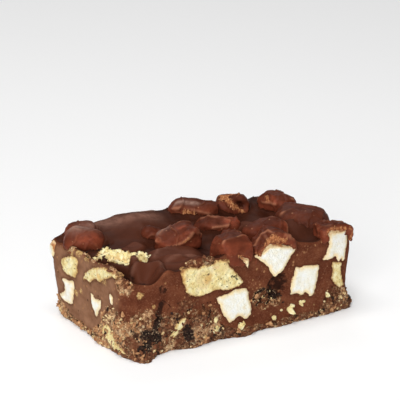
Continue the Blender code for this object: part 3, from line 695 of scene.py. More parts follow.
def stroke_strength(points, strokes):
    """How strongly strokes of (width, points) mark each point, from 0 to 1."""
    strongest = np.zeros(len(points))
    for width, *_, line in strokes:
        nearest = np.full(len(points), 1e9)
        for start, end in zip(line, line[1:] or line):
            start, run = np.array(start), np.array(end) - np.array(start)
            share = np.clip((points - start) @ run / max(run @ run, 1e-9), 0, 1)
            nearest = np.minimum(nearest, np.linalg.norm(points - start - share[:, None] * run, axis=1))
        strongest = np.maximum(strongest, np.exp(-((nearest / width) ** 2)))
    return strongest


# Modelling helpers


def deselect():
    bpy.ops.object.select_all(action="DESELECT")


def activate(thing):
    deselect()
    thing.select_set(True)
    bpy.context.view_layer.objects.active = thing


def named(name):
    """Names the object that was just added, and its mesh."""
    made = bpy.context.active_object
    made.name = name
    made.data.name = name
    return made


def apply_modifier(thing, kind, **settings):
    """Adds a modifier with these settings and applies it."""
    activate(thing)
    modifier = thing.modifiers.new(kind.lower(), kind)
    for key, value in settings.items():
        setattr(modifier, key, value)
    bpy.ops.object.modifier_apply(modifier=modifier.name)


def cut_block(name, size, cuts):
    """A box cut into a grid, round after round of cuts along each axis."""
    bpy.ops.mesh.primitive_cube_add(size=1.0, location=(0, 0, size.z / 2 * MM), scale=size * MM)
    made = named(name)
    bpy.ops.object.transform_apply(location=True, rotation=True, scale=True)
    bpy.context.tool_settings.mesh_select_mode = (False, True, False)
    bpy.ops.object.mode_set(mode="EDIT")
    for axis, rounds in enumerate(cuts):
        for number in rounds:
            shape = bmesh.from_edit_mesh(made.data)
            for edge in shape.edges:
                run = edge.verts[1].co - edge.verts[0].co
                edge.select_set(abs(run[axis]) > 0.9 * run.length)
            bmesh.update_edit_mesh(made.data)
            bpy.ops.mesh.subdivide(number_cuts=number)
    bpy.ops.object.mode_set(mode="OBJECT")
    bpy.context.tool_settings.mesh_select_mode = (True, False, False)
    return made


def millimetres(thing):
    """The places of a mesh's vertices, in millimetres."""
    return [v.co / MM for v in thing.data.vertices]


def put_vertices(thing, places):
    """Moves a mesh's vertices to places in millimetres."""
    flat = np.array([tuple(p) for p in places], np.float32).reshape(-1) * MM
    thing.data.vertices.foreach_set("co", flat)
    thing.data.update()


def paint(thing, **layers):
    """Stores layers of one number for each vertex, for the material to read."""
    for name, values in layers.items():
        layer = thing.data.attributes.new(name, "FLOAT", "POINT")
        layer.data.foreach_set("value", np.array(values, np.float32))


def dress(thing, finish, slot, *replaced):
    """Gives a finished piece its material and its place in the frame."""
    thing.data.materials.clear()
    thing.data.materials.append(finish)
    thing.data.shade_smooth()
    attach(thing, "root")
    if replaced:
        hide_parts(*replaced)


def on_face(face, along, height, out):
    """The point of a cut face at a place along it and a height, moved with the face's waves."""
    outward, right, reach = face
    flat = outward * reach + right * along + Vector((0, 0, height))
    return flat + side_push(*flat) + outward * out


# Outlines of the cut pieces


def ragged(points, seed, spacing, depth, size):
    """A closed outline with more points, its sides softly curved and worn by noise."""
    count = len(points)
    fine = []
    for i in range(count):
        before, start, end, after = (Vector(points[(i + k) % count]) for k in (-1, 0, 1, 2))
        steps = max(1, round((end - start).length / spacing))
        for step in range(steps):
            t = step / steps
            curve = 0.5 * (
                2 * start
                + (end - before) * t
                + (2 * before - 5 * start + 4 * end - after) * t**2
                + (3 * start - before - 3 * end + after) * t**3
            )
            spot = curve.lerp(start.lerp(end, t), 0.35)
            wear = Vector((ripple(spot.to_3d(), size, seed), ripple(spot.to_3d(), size, seed + 40)))
            fine.append(spot + wear * depth)
    return fine


def block_outline(along, height, width, tall, tilt, seed):
    """Corners and side middles of a block that a knife went through, sides pulled in a little."""
    draw = random.Random(seed)
    turn = Matrix.Rotation(math.radians(tilt), 2)
    corners = []
    for side in range(8):
        angle = math.radians(45 * side + 45)
        reach = 1.0 if side % 2 == 0 else draw.uniform(0.66, 0.78)
        spot = Vector((math.cos(angle) * width, math.sin(angle) * tall)) * 0.7 * reach
        spot += Vector((draw.uniform(-0.4, 0.4), draw.uniform(-0.4, 0.4)))
        corners.append(turn @ spot + Vector((along, height)))
    return corners


def outline_distance(points, outline):
    """Signed distance from each 2-D point to an outline, less than 0 inside."""
    points = np.asarray(points, float).reshape(-1, 2)
    nearest = np.full(len(points), 1e9)
    inside = np.zeros(len(points), bool)
    count = len(outline)
    for i in range(count):
        start = np.array(outline[i])
        end = np.array(outline[(i + 1) % count])
        run = end - start
        share = np.clip(((points - start) @ run) / max(run @ run, 1e-9), 0, 1)
        nearest = np.minimum(nearest, np.linalg.norm(points - start - share[:, None] * run, axis=1))
        crosses = (start[1] > points[:, 1]) != (end[1] > points[:, 1])
        rise = np.where(abs(run[1]) > 1e-9, run[1], 1e-9)
        inside ^= crosses & (points[:, 0] < start[0] + (points[:, 1] - start[1]) / rise * run[0])
    return np.where(inside, -nearest, nearest)


def cut_outlines():
    """The worn outline of every piece in the cut faces: name, face, outline."""
    rows = []
    for named_outlines in (MARSHMALLOW_OUTLINES, GRAZED_OUTLINES, BISCUIT_OUTLINES):
        for name, (face, points) in named_outlines.items():
            rows.append((name, face, points))
    for named_blocks in (MARSHMALLOW_BLOCKS, BISCUIT_BLOCKS):
        for name, (face, *block) in named_blocks.items():
            rows.append((name, face, block_outline(*block)))
    worn = {}
    for number, (name, face, points) in enumerate(rows):
        wear = 0.42 if name.startswith("biscuit") or face in (LEFT, BACK) else 0.28
        worn[name] = (face, ragged(points, number, 0.4, wear, 0.8))
    return worn


# Materials


def colour(red, green, blue):
    """A linear colour from screen values of 0 to 255."""
    channels = []
    for value in (red, green, blue):
        share = value / 255
        channels.append(share / 12.92 if share <= 0.04045 else ((share + 0.055) / 1.055) ** 2.4)
    return (*channels, 1.0)


class Finish:
    """A material's node tree and short ways to build it. Sizes are millimetres."""

    def __init__(self, name):
        self.material = bpy.data.materials.new(name)
        self.material.use_nodes = True
        self.nodes = self.material.node_tree.nodes
        self.links = self.material.node_tree.links
        self.shader = self.nodes["Principled BSDF"]
        self.place = self.nodes.new("ShaderNodeTexCoord").outputs["Object"]

    def node(self, kind, settings=None, inputs=None):
        made = self.nodes.new(kind)
        for key, value in (settings or {}).items():
            setattr(made, key, value)
        for key, value in (inputs or {}).items():
            self.feed(made.inputs[key], value)
        return made

    def feed(self, socket, value):
        if isinstance(value, bpy.types.NodeSocket):
            self.links.new(value, socket)
        else:
            socket.default_value = value

    def painted(self, name):
        return self.node("ShaderNodeAttribute", {"attribute_name": name}).outputs["Fac"]

    def stretched(self, x, y, z):
        return self.node("ShaderNodeMapping", None, {"Vector": self.place, "Scale": (x, y, z)}).outputs[0]

    def cloud(self, size, detail, rough=0.55, place=None, distortion=0.0):
        """Soft noise from 0 to 1."""
        inputs = {
            "Vector": place or self.place,
            "Scale": 1 / (size * MM),
            "Detail": detail,
            "Roughness": rough,
            "Distortion": distortion,
        }
        return self.node("ShaderNodeTexNoise", None, inputs).outputs["Fac"]

    def grains(self, size, place=None):
        """Cells, each with a random colour and the distance from its middle."""
        inputs = {"Vector": place or self.place, "Scale": 1 / (size * MM)}
        return self.node("ShaderNodeTexVoronoi", None, inputs)

    def shaken(self, size, amount):
        """Object coordinates moved about by noise, so that grains lose their straight sides."""
        inputs = {"Vector": self.place, "Scale": 1 / (size * MM)}
        wobble = self.node("ShaderNodeTexNoise", None, inputs).outputs["Color"]
        centred = self.vectors("SUBTRACT", {0: wobble, 1: (0.5, 0.5, 0.5)})
        scaled = self.vectors("SCALE", {0: centred, "Scale": amount * MM})
        return self.vectors("ADD", {0: self.place, 1: scaled})

    def vectors(self, operation, inputs):
        return self.node("ShaderNodeVectorMath", {"operation": operation}, inputs).outputs[0]

    def part(self, colour_socket, channel="Red"):
        return self.node("ShaderNodeSeparateColor", None, {"Color": colour_socket}).outputs[channel]

    def ramp(self, factor, stops):
        """Colours along a value, from stops of (position, colour)."""
        made = self.node("ShaderNodeValToRGB", None, {"Fac": factor})
        elements = made.color_ramp.elements
        while len(elements) < len(stops):
            elements.new(0.5)
        for element, (position, shade) in zip(elements, stops):
            element.position = position
            element.color = shade
        return made.outputs["Color"]

    def mix(self, factor, first, second):
        made = self.node("ShaderNodeMix", {"data_type": "RGBA"})
        self.feed(made.inputs[0], factor)
        self.feed(made.inputs[6], first)
        self.feed(made.inputs[7], second)
        return made.outputs[2]

    def maths(self, operation, first, second):
        return self.node("ShaderNodeMath", {"operation": operation}, {0: first, 1: second}).outputs[0]

    def nudged(self, value, cloud, amount):
        """A value moved up and down by noise, over a span of `amount`."""
        centred = self.maths("SUBTRACT", cloud, 0.5)
        return self.maths("ADD", value, self.maths("MULTIPLY", centred, amount))

    def rise(self, value, low, high, bottom=0.0, top=1.0):
        """`bottom` where the value is `low`, `top` where it is `high`, softly between."""
        settings = {"interpolation_type": "SMOOTHSTEP"}
        inputs = {"Value": value, "From Min": low, "From Max": high, "To Min": bottom, "To Max": top}
        return self.node("ShaderNodeMapRange", settings, inputs).outputs[0]

    def tinted(self, shade, value, low, high, strength, tone):
        """The shade, with a tone laid over it where the value goes from `low` to `high`."""
        return self.mix(self.rise(value, low, high, 0.0, strength), shade, colour(*tone))

    def specks(self, shade, cells, shares, reaches, strength, speck, channel="Red"):
        """Specks in the middles of those cells whose random share is high enough."""
        chosen = self.rise(self.part(cells.outputs["Color"], channel), *shares)
        near = self.rise(cells.outputs["Distance"], *reaches, 0.0, strength)
        return self.mix(self.maths("MULTIPLY", chosen, near), shade, speck)

    def bump(self, height, distance, strength, normal=None):
        inputs = {"Height": height, "Distance": distance * MM, "Strength": strength}
        if normal is not None:
            inputs["Normal"] = normal
        return self.node("ShaderNodeBump", None, inputs).outputs["Normal"]

    def finish(self, base, rough, normal, specular, **constants):
        self.feed(self.shader.inputs["Base Color"], base)
        self.feed(self.shader.inputs["Roughness"], rough)
        self.feed(self.shader.inputs["Normal"], normal)
        self.shader.inputs["Specular IOR Level"].default_value = specular
        for name, value in constants.items():
            self.shader.inputs[name.replace("_", " ")].default_value = value
        return self.material


def crumb_colours(made, size, pale, dark):
    """Broken biscuit in chocolate: brown and tan grains, smears of chocolate, dark gaps."""
    place = made.shaken(size * 1.6, size * 1.2)
    coarse = made.grains(size, place)
    fine = made.grains(size * 0.42, place)
    coarse_shade = made.part(coarse.outputs["Color"])
    fine_shade = made.part(fine.outputs["Color"], "Green")
    brown_stops = (
        (0.0, colour(48, 27, 18)),
        (0.2, colour(92, 55, 37)),
        (0.5, colour(124, 82, 56)),
        (0.75, colour(158, 112, 80)),
        (0.92, colour(206, 162, 118)),
        (1.0, colour(240, 214, 170)),
    )
    pale_stops = (
        (0.0, colour(112, 74, 50)),
        (0.3, colour(160, 114, 80)),
        (0.6, colour(200, 154, 112)),
        (1.0, colour(238, 208, 164)),
    )
    brown = made.mix(0.4, made.ramp(coarse_shade, brown_stops), made.ramp(fine_shade, brown_stops))
    paler = made.mix(0.4, made.ramp(coarse_shade, pale_stops), made.ramp(fine_shade, pale_stops))
    pale_share = made.rise(made.nudged(pale, made.cloud(2.0, 4.0), 1.6), 0.3, 0.65)
    smears = made.cloud(5.0, 5.0, 0.6)
    brown = made.tinted(brown, smears, 0.5, 0.6, 0.8, (116, 66, 42))
    shade = made.mix(pale_share, brown, paler)
    patches = made.cloud(3.4, 4.0, 0.6, made.stretched(1.0, 1.0, 0.8))
    shade = made.tinted(shade, patches, 0.44, 0.34, 0.8, (50, 30, 21))
    shade = made.tinted(shade, coarse.outputs["Distance"], 0.5, 0.85, 0.45, (46, 28, 20))
    dark_stops = ((0.0, colour(13, 9, 8)), (0.8, colour(36, 24, 19)), (0.97, colour(156, 130, 104)))
    edge = made.nudged(dark, made.cloud(1.5, 5.0, 0.7), 1.3)
    shade = made.mix(made.rise(edge, 0.35, 0.6, 0.0, 0.95), shade, made.ramp(fine_shade, dark_stops))
    height = made.maths("SUBTRACT", 1.0, coarse.outputs["Distance"])
    height = made.maths("ADD", height, made.maths("MULTIPLY", fine.outputs["Distance"], -0.5))
    return shade, height


def chocolate_finish():
    """The chocolate: dark satin on top, paler and matt where it was cut, crumbly at the foot."""
    made = Finish("set_chocolate")
    cut, crumbs, dark = (made.painted(name) for name in ("cut", "crumbs", "dark"))
    lip, pale, dry, smeared = (made.painted(name) for name in ("lip", "pale", "dry", "tan"))
    drift = made.cloud(8.0, 3.0)
    top = made.ramp(drift, ((0.3, colour(46, 21, 12)), (0.7, colour(68, 33, 20))))
    haze = made.cloud(2.2, 5.0, 0.65)
    top = made.tinted(top, haze, 0.55, 0.8, 0.35, (96, 52, 36))
    # A greyish painted highlight where the hills and the crests of the covered marshmallows catch the light.
    bloom = made.maths("MULTIPLY", made.painted("bloom"), made.rise(haze, 0.3, 0.65, 0.4, 0.95))
    top = made.mix(bloom, top, colour(144, 104, 88))
    top = made.mix(made.maths("MULTIPLY", made.painted("covered"), 0.6), top, colour(100, 55, 39))

    smear = made.cloud(6.0, 6.0, 0.6, made.stretched(1.0, 1.0, 1.5))
    fine = made.cloud(0.8, 5.0, 0.65)
    body_stops = ((0.3, colour(82, 40, 25)), (0.52, colour(102, 55, 36)), (0.72, colour(120, 70, 47)))
    pale_stops = ((0.3, colour(128, 88, 64)), (0.52, colour(148, 108, 81)), (0.72, colour(166, 124, 95)))
    body = made.ramp(smear, body_stops)
    body = made.tinted(body, fine, 0.5, 0.72, 0.4, (86, 46, 30))
    mottle = made.cloud(0.42, 3.0, 0.6)
    body = made.tinted(body, mottle, 0.54, 0.68, 0.4, (142, 92, 66))
    body = made.tinted(body, mottle, 0.42, 0.3, 0.4, (72, 36, 23))
    # The left cut face is painted paler: painted light.
    body = made.mix(dry, body, made.ramp(smear, pale_stops))
    body = made.tinted(body, fine, 0.46, 0.3, 0.3, (150, 104, 80))
    speck_place = made.shaken(0.8, 0.5)
    for size, share, speck in ((1.5, 0.86, colour(172, 124, 84)), (0.8, 0.84, colour(152, 104, 74))):
        cells = made.grains(size, speck_place)
        body = made.specks(body, cells, (share, share + 0.05), (0.36, 0.2), 0.75, speck)
    # Dark specks: painted shade in small holes of the cut chocolate.
    cells = made.grains(2.1, speck_place)
    body = made.specks(body, cells, (0.88, 0.92), (0.24, 0.12), 0.8, colour(52, 29, 21), "Blue")
    # A darker band round each cut piece: painted shadow in the gap at its edge.
    body = made.mix(made.maths("MULTIPLY", lip, 0.55), body, colour(72, 38, 26))

    grain_shade, grain_height = crumb_colours(made, 0.95, pale, dark)
    blotch = made.cloud(1.6, 5.0, 0.7)
    tan_stops = ((0.35, colour(150, 104, 66)), (0.5, colour(196, 158, 100)), (0.65, colour(228, 202, 140)))
    frayed = made.nudged(smeared, made.cloud(1.1, 5.0, 0.75), 3.0)
    tan_share = made.rise(frayed, 0.4, 0.9, 0.0, 0.9)
    tan_share = made.maths("MULTIPLY", tan_share, made.rise(smeared, 0.02, 0.3))
    body = made.mix(tan_share, body, made.ramp(fine, tan_stops))
    crumb_share = made.rise(made.nudged(crumbs, blotch, 1.5), 0.35, 0.62)
    shade = made.mix(made.rise(cut, 0.25, 0.75), top, body)
    shade = made.mix(crumb_share, shade, grain_shade)
    smooth_share = made.maths("SUBTRACT", 1.0, crumb_share)
    # Near black: dark crumb, and painted shade in the cracks, the front hollow and the top's corner hollow.
    dark_share = made.rise(made.nudged(dark, blotch, 1.5), 0.4, 0.8, 0.0, 0.9)
    shade = made.mix(made.maths("MULTIPLY", dark_share, smooth_share), shade, colour(40, 23, 17))

    rough = made.rise(cut, 0.2, 0.8, 0.42, 0.62)
    rough = made.maths("ADD", rough, made.maths("MULTIPLY", haze, 0.12))
    rough = made.maths("ADD", rough, made.maths("MULTIPLY", crumb_share, 0.25))
    soft = made.bump(made.cloud(3.0, 4.0), 0.14, 0.4)
    matt = made.bump(fine, 0.16, made.rise(cut, 0.2, 0.8, 0.12, 0.8), soft)
    grainy = made.bump(grain_height, 0.4, made.maths("MULTIPLY", crumb_share, 0.9), matt)
    return made.finish(shade, rough, grainy, specular=0.04)


def bed_finish():
    """The crumb layer: biscuit crumbs held together by a little chocolate."""
    made = Finish("biscuit_crumb_bed")
    shade, height = crumb_colours(made, 0.9, made.painted("pale"), made.painted("dark"))
    normal = made.bump(height, 0.45, 0.9)
    return made.finish(shade, 0.85, normal, specular=0.2)


def coat_finish():
    """Chocolate that coats a marshmallow: thin and red where it is stretched, torn in places."""
    made = Finish("chocolate_coat")
    thin, torn, crease, deep = (made.painted(name) for name in ("thin", "torn", "crease", "deep"))
    drift = made.cloud(5.0, 4.0, 0.6)
    fine = made.cloud(0.9, 5.0, 0.6)
    shade = made.ramp(drift, ((0.3, colour(70, 32, 20)), (0.7, colour(98, 48, 32))))
    red = made.ramp(made.cloud(2.2, 4.0), ((0.3, colour(110, 50, 33)), (0.7, colour(148, 74, 50))))
    shade = made.mix(thin, shade, red)
    shade = made.tinted(shade, fine, 0.56, 0.8, 0.3, (132, 82, 58))
    shade = made.mix(made.maths("MULTIPLY", crease, 0.62), shade, colour(178, 118, 88))
    # A greyish painted highlight on the tops of some lumps.
    patchy = made.rise(made.cloud(1.8, 4.0), 0.3, 0.6, 0.5, 1.0)
    bloom = made.maths("MULTIPLY", made.painted("bloom"), patchy)
    shade = made.mix(bloom, shade, colour(150, 116, 102))
    # Painted shade in the hollows, and the great lump's own darker tone.
    shade = made.tinted(shade, deep, 0.1, 0.8, 0.85, (58, 26, 16))
    strands = made.cloud(0.9, 5.0, 0.7, made.stretched(1.0, 1.0, 0.6), 1.2)
    tan_stops = ((0.35, colour(120, 64, 38)), (0.52, colour(176, 112, 70)), (0.68, colour(216, 162, 112)))
    frayed = made.rise(made.nudged(torn, strands, 2.6), 0.45, 0.85, 0.0, 0.9)
    torn_share = made.maths("MULTIPLY", frayed, made.rise(torn, 0.05, 0.3))
    shade = made.mix(torn_share, shade, made.ramp(strands, tan_stops))
    cells = made.grains(1.1, made.shaken(1.0, 0.6))
    shade = made.specks(shade, cells, (0.9, 0.94), (0.3, 0.15), 0.7, colour(178, 126, 92))
    rough = made.rise(fine, 0.3, 0.7, 0.34, 0.5)
    rough = made.maths("ADD", rough, made.maths("MULTIPLY", torn, 0.3))
    soft = made.bump(made.cloud(2.4, 4.0), 0.25, 0.6)
    normal = made.bump(fine, 0.12, 0.5, soft)
    return made.finish(shade, rough, normal, specular=0.06)


def marshmallow_finish():
    """Cut marshmallow: a white sponge of fine bubbles, its rim stained by the chocolate."""
    made = Finish("cut_marshmallow")
    rim = made.painted("rim")
    blotch = made.cloud(2.2, 4.0, 0.6)
    fine = made.cloud(0.5, 4.0, 0.6)
    white_stops = ((0.36, colour(252, 252, 246)), (0.6, colour(246, 242, 226)), (0.76, colour(232, 218, 186)))
    shade = made.ramp(blotch, white_stops)
    depth = made.nudged(rim, made.cloud(2.4, 5.0, 0.7), 2.4)
    shade = made.tinted(shade, depth, 1.9, 0.1, 0.8, (244, 216, 154))
    patchy = made.rise(made.cloud(3.2, 3.0), 0.44, 0.58, 0.3, 1.0)
    border = made.rise(made.nudged(rim, fine, 1.0), 0.4, -0.2, 0.0, 0.95)
    stained = made.maths("MULTIPLY", border, patchy)
    shade = made.mix(stained, shade, colour(176, 112, 64))
    crack = made.grains(3.6, made.shaken(1.4, 2.0))
    pits = made.grains(0.55)
    height = made.maths("ADD", fine, made.maths("MULTIPLY", pits.outputs["Distance"], 0.8))
    soft = made.bump(crack.outputs["Distance"], 0.3, 0.25)
    normal = made.bump(height, 0.2, 0.9, soft)
    glow = {"Subsurface_Weight": 0.2, "Subsurface_Radius": (1.0, 0.9, 0.7), "Subsurface_Scale": MM}
    return made.finish(shade, 0.8, normal, specular=0.25, **glow)


def biscuit_finish():
    """Broken biscuit: a pale open crumb with pinholes, browner at its crust."""
    made = Finish("broken_biscuit")
    rim = made.painted("rim")
    place = made.shaken(1.2, 0.7)
    blotch = made.cloud(2.6, 5.0, 0.65)
    fine = made.cloud(0.6, 5.0, 0.7)
    crumb_stops = (
        (0.28, colour(208, 174, 110)),
        (0.44, colour(236, 218, 156)),
        (0.58, colour(246, 236, 188)),
        (0.74, colour(252, 248, 224)),
    )
    shade = made.ramp(blotch, crumb_stops)
    shade = made.tinted(shade, fine, 0.46, 0.3, 0.5, (202, 160, 98))
    golden = made.cloud(5.5, 2.0)
    shade = made.tinted(shade, golden, 0.56, 0.72, 0.6, (218, 168, 92))
    toasted = made.nudged(made.painted("toasted"), blotch, 2.6)
    shade = made.tinted(shade, toasted, 0.3, 1.2, 0.7, (214, 168, 98))
    depth = made.nudged(rim, made.cloud(1.0, 5.0, 0.7), 1.8)
    shade = made.tinted(shade, depth, 1.1, 0.3, 0.6, (206, 164, 98))
    shade = made.tinted(shade, depth, 0.5, 0.0, 0.85, (158, 110, 66))
    shade = made.tinted(shade, depth, 0.1, -0.25, 0.9, (70, 42, 28))
    # Dark specks: painted shade in the pinholes.
    for size, share, span in ((2.2, 0.84, 0.26), (1.2, 0.8, 0.3), (0.7, 0.86, 0.36)):
        cells = made.grains(size, place)
        shares, reaches = (share, share + 0.04), (span, span * 0.5)
        shade = made.specks(shade, cells, shares, reaches, 0.85, colour(74, 46, 32))
    # Near black in the pits and cracks: painted shade.
    pit_edge = made.nudged(made.painted("pits"), fine, 2.0)
    shade = made.tinted(shade, pit_edge, 0.4, 0.75, 0.95, (38, 24, 17))
    grain = made.grains(0.5, place)
    height = made.maths("SUBTRACT", fine, made.maths("MULTIPLY", grain.outputs["Distance"], 0.6))
    normal = made.bump(height, 0.25, 0.7)
    return made.finish(shade, 0.85, normal, specular=0.15)


def loose_crumb_finish(name, deep, middle, pale):
    """Loose crumbs of one kind: each part of a crumb takes one of three near colours."""
    made = Finish(name)
    tint = made.cloud(0.9, 2.0)
    shade = made.ramp(tint, ((0.3, deep), (0.5, middle), (0.7, pale)))
    normal = made.bump(made.cloud(0.25, 3.0), 0.12, 0.8)
    return made.finish(shade, 0.82, normal, specular=0.22)


# The chocolate and its crumb layer


def cavity_depth(along, height):
    """How deep the hollow in the front is at a place, from 0 to 1."""
    middle_along, middle_height, length, width, tilt = CAVITY
    offset = Vector((along - middle_along, height - middle_height))
    turned = Matrix.Rotation(math.radians(-tilt), 2) @ offset
    share = (turned.x / length) ** 2 + (turned.y / width) ** 2
    return smooth_step(1.15, 0.3, share)


def outward_at(co):
    """The way out of the plain block at a vertex of its sides, and nothing elsewhere."""
    outward = Vector((0, 0, 0))
    if abs(co.x) > HALF_LENGTH - ON_SIDE:
        outward.x = math.copysign(1, co.x)
    if abs(co.y) > HALF_WIDTH - ON_SIDE:
        outward.y = math.copysign(1, co.y)
    return outward


def edge_drop(x, y):
    """How far the rounded upper edge falls below the top, near the block's sides."""
    radius = EDGE_RADIUS * (1.0 + 0.45 * ripple(Vector((x, y, 0)), 4.0, 21))
    inside = min(HALF_LENGTH - abs(x), HALF_WIDTH - abs(y))
    if inside >= radius:
        return 0.0
    return radius * (1.0 - math.sqrt(max(0.0, 1.0 - (1.0 - inside / radius) ** 2)))


def under_pieces(points, outlines):
    """How near each point is to a cut piece's edge, and how far it lies under a cut piece."""
    lips = np.zeros(len(points))
    sinks = np.zeros(len(points))
    for (outward, along, reach), outline in outlines.values():
        rows = np.flatnonzero(points @ np.array(outward) > reach - FACE_DEPTH)
        spots = np.stack([points[rows] @ np.array(along), points[rows, 2]], axis=1)
        wear = np.array([ripple(Vector(points[row]), 0.9, 77) for row in rows])
        away = outline_distance(spots, outline) + 0.45 * wear
        lip = np.where(away > 0, np.exp(-((away / LIP_WIDTH) ** 2)), 0)
        lips[rows] = np.maximum(lips[rows], lip)
        sinks[rows] = np.maximum(sinks[rows], np.clip(-away / SINK_WIDTH, 0, 1))
    return lips, sinks


def make_chocolate(outlines, lump_tree, climbs, finish):
    """The whole chocolate block, pushed in under every cut piece and drawn up round the lumps."""
    mass = cut_block("chocolate_mass", Vector((LENGTH, WIDTH, TOP_LEVEL)), MASS_CUTS)
    flat = millimetres(mass)
    shaped = []
    for co in flat:
        floor = crumb_top(co.x, co.y) - CHOCOLATE_DIP
        ceiling = slab_top(co.x, co.y) - edge_drop(co.x, co.y)
        shaped.append(Vector((co.x, co.y, floor + (ceiling - floor) * co.z / TOP_LEVEL)))
    points = np.array(shaped)
    lips, sinks = under_pieces(points, outlines)
    pushed = np.array([tuple(co + side_push(*co)) for co in shaped])
    strokes = stroke_strength(pushed, DARK_STROKES)
    plan = points[:, :2]
    crests = stroke_strength(plan, HUMP_CRESTS)
    cracks = [(depth, stroke_strength(plan, ((width, line),))) for width, depth, line in CRACKS]

    places, cuts, crumbs, darks, pales, painted_side_lights, tans = [], [], [], [], [], [], []
    for i, co in enumerate(flat):
        spot = shaped[i].copy()
        z = spot.z
        on_top = co.z > TOP_LEVEL - ON_SIDE
        outward = outward_at(co)
        inside = min(HALF_LENGTH - abs(co.x), HALF_WIDTH - abs(co.y))
        spot += side_push(*spot)
        foot = smooth_step(2.0, -0.5, z - crumb_top(co.x, co.y))
        crumb = max(strength_at(spot, CRUMBLY_PLACES), foot)
        dark = max(strength_at(spot, DARK_PLACES), strokes[i])
        dry = 0.0
        out = 0.0
        if outward.length:
            out = 0.1 * ripple(spot, 1.6, 31) + 0.2 * lips[i] - 0.5 * sinks[i]
            out += crumb * (0.8 * (crag(spot, 1.7, 32) - 0.5) + 0.35 * ripple(spot, 3.2, 37))
            # The left face is painted lighter: painted light.
            if outward.x < 0:
                dry = PAINTED_SIDE_LIGHT * smooth_step(*SIDE_LIGHT_FADE, co.y + 3.0 * ripple(spot, 5.0, 38))
            if outward.y < 0:
                hollow = cavity_depth(co.x, z)
                out -= CAVITY_DEPTH * hollow * (1 - sinks[i])
                # Painted shade in the hollow.
                dark = max(dark, hollow * 0.75)
        elif on_top:
            spot.z += 0.16 * ripple(spot, 3.4, 33) + 0.07 * ripple(spot, 1.3, 34)
            near, normal, index, away = lump_tree.find_nearest(spot, CLIMB_REACH)
            if near is not None and (spot - near).dot(normal) > 0:
                spot.z += climbs[index] * math.exp(-away / climbs[index])
        if on_top:
            spot.z += CREST_HEIGHT * crests[i]
            spot.z += crumb * (0.7 * crag(spot, 1.1, 35) + 0.5 * ripple(spot, 1.6, 36))
            # Cracks sink, and are painted dark: painted shade.
            for depth, marks in cracks:
                spot.z -= depth * marks[i]
                dark = max(dark, 0.9 * marks[i])
        places.append(spot + outward * out)
        cuts.append(1.0 if outward.length else smooth_step(1.4, 0.2, inside))
        crumbs.append(crumb)
        darks.append(dark)
        painted_side_lights.append(dry)
        pales.append(strength_at(spot, PALE_PLACES))
        tans.append(strength_at(spot, TAN_PLACES) if inside < 2.2 else 0.0)
    put_vertices(mass, places)
    # The crests of the covered marshmallows get a painted highlight too.
    blooms = np.maximum(stroke_strength(points, PAINTED_HIGHLIGHTS), 0.8 * crests)
    paint(mass, bloom=blooms, covered=[covered_share(co.x, co.y) for co in flat], cut=cuts)
    paint(mass, crumbs=crumbs, dark=darks, lip=lips, pale=pales, dry=painted_side_lights, tan=tans)
    dress(mass, finish, "chocolate", "chocolate_slab")
    return mass


def make_bed(finish):
    """The layer of crumbs that the slice stands on, its sides rough and its foot uneven."""
    # A vertex of a block 1 tall has for its height its share of the layer's depth.
    bed = cut_block("crumb_bed", Vector((LENGTH, WIDTH, 1.0)), BED_CUTS)
    places, crumbs, pales, darks = [], [], [], []
    for co in millimetres(bed):
        z = co.z * (crumb_top(co.x, co.y) + CRUMB_RISE)
        spot = Vector((co.x, co.y, z))
        outward = outward_at(co)
        spot += side_push(*spot)
        out = 0.0
        if outward.length:
            out = 0.1 + 0.7 * (crag(spot, 1.8, 51) - 0.45) + 0.35 * (crag(spot, 0.9, 52) - 0.5)
            out -= 0.9 * smooth_step(0.8, 0.0, z) * (0.3 + abs(ripple(spot, 3.0, 53)))
        places.append(spot + outward * out)
        crumbs.append(1.0 if outward.length else 0.0)
        pales.append(strength_at(spot, PALE_PLACES))
        darks.append(strength_at(spot, DARK_PLACES))
    darks = np.maximum(darks, stroke_strength(np.array([tuple(p) for p in places]), DARK_STROKES))
    put_vertices(bed, places)
    paint(bed, crumbs=crumbs, pale=pales, dark=darks)
    dress(bed, finish, "crumb", "crumb_layer")
    return bed


# Pieces that the knife went through


def make_plug(name, face, outline, finish, slot, rough):
    """A cut piece: its outline drawn in the face, pulled inwards, and rebuilt from fine grains."""
    outward, along, reach = face
    bpy.ops.mesh.primitive_circle_add(vertices=len(outline), radius=MM, fill_type="NGON")
    plug = named(name + "_cut")
    level = outward * (reach + PROUD)
    put_vertices(plug, [level + along * spot.x + Vector((0, 0, spot.y)) for spot in outline])
    bpy.ops.object.mode_set(mode="EDIT")
    bpy.ops.mesh.select_all(action="SELECT")
    move = {"value": -outward * PLUG_DEPTH * MM}
    bpy.ops.mesh.extrude_region_move(TRANSFORM_OT_translate=move)
    bpy.ops.mesh.select_all(action="SELECT")
    bpy.ops.mesh.normals_make_consistent(inside=False)
    bpy.ops.object.mode_set(mode="OBJECT")
    apply_modifier(plug, "REMESH", mode="VOXEL", voxel_size=PLUG_GRAIN * MM)
    apply_modifier(plug, "SMOOTH", factor=0.5, iterations=2)
    flat = millimetres(plug)
    stained = STAINED_TOPS.get(name, UNSTAINED)
    depth = -outline_distance([(co.dot(along), co.z) for co in flat], outline)
    places = []
    for co, inside in zip(flat, depth):
        front = smooth_step(-1.0, 0.0, co.dot(outward) - reach - PROUD)
        places.append(co + side_push(*co) + outward * front * rough(co, inside))
    put_vertices(plug, places)
    stains = [smooth_step(stained - STAIN_DEPTH, stained, co.z) for co in flat]
    pits = np.zeros(len(flat))
    if name == "biscuit_front_long":
        pits = stroke_strength(np.array(flat), BISCUIT_PITS)
    toasted = [strength_at(co, TOASTED_PLACES) for co in flat]
    paint(plug, rim=depth - STAIN_SHIFT * np.array(stains), pits=pits, toasted=toasted)
    dress(plug, finish, slot, name.removesuffix("_grazed"))
    return plug


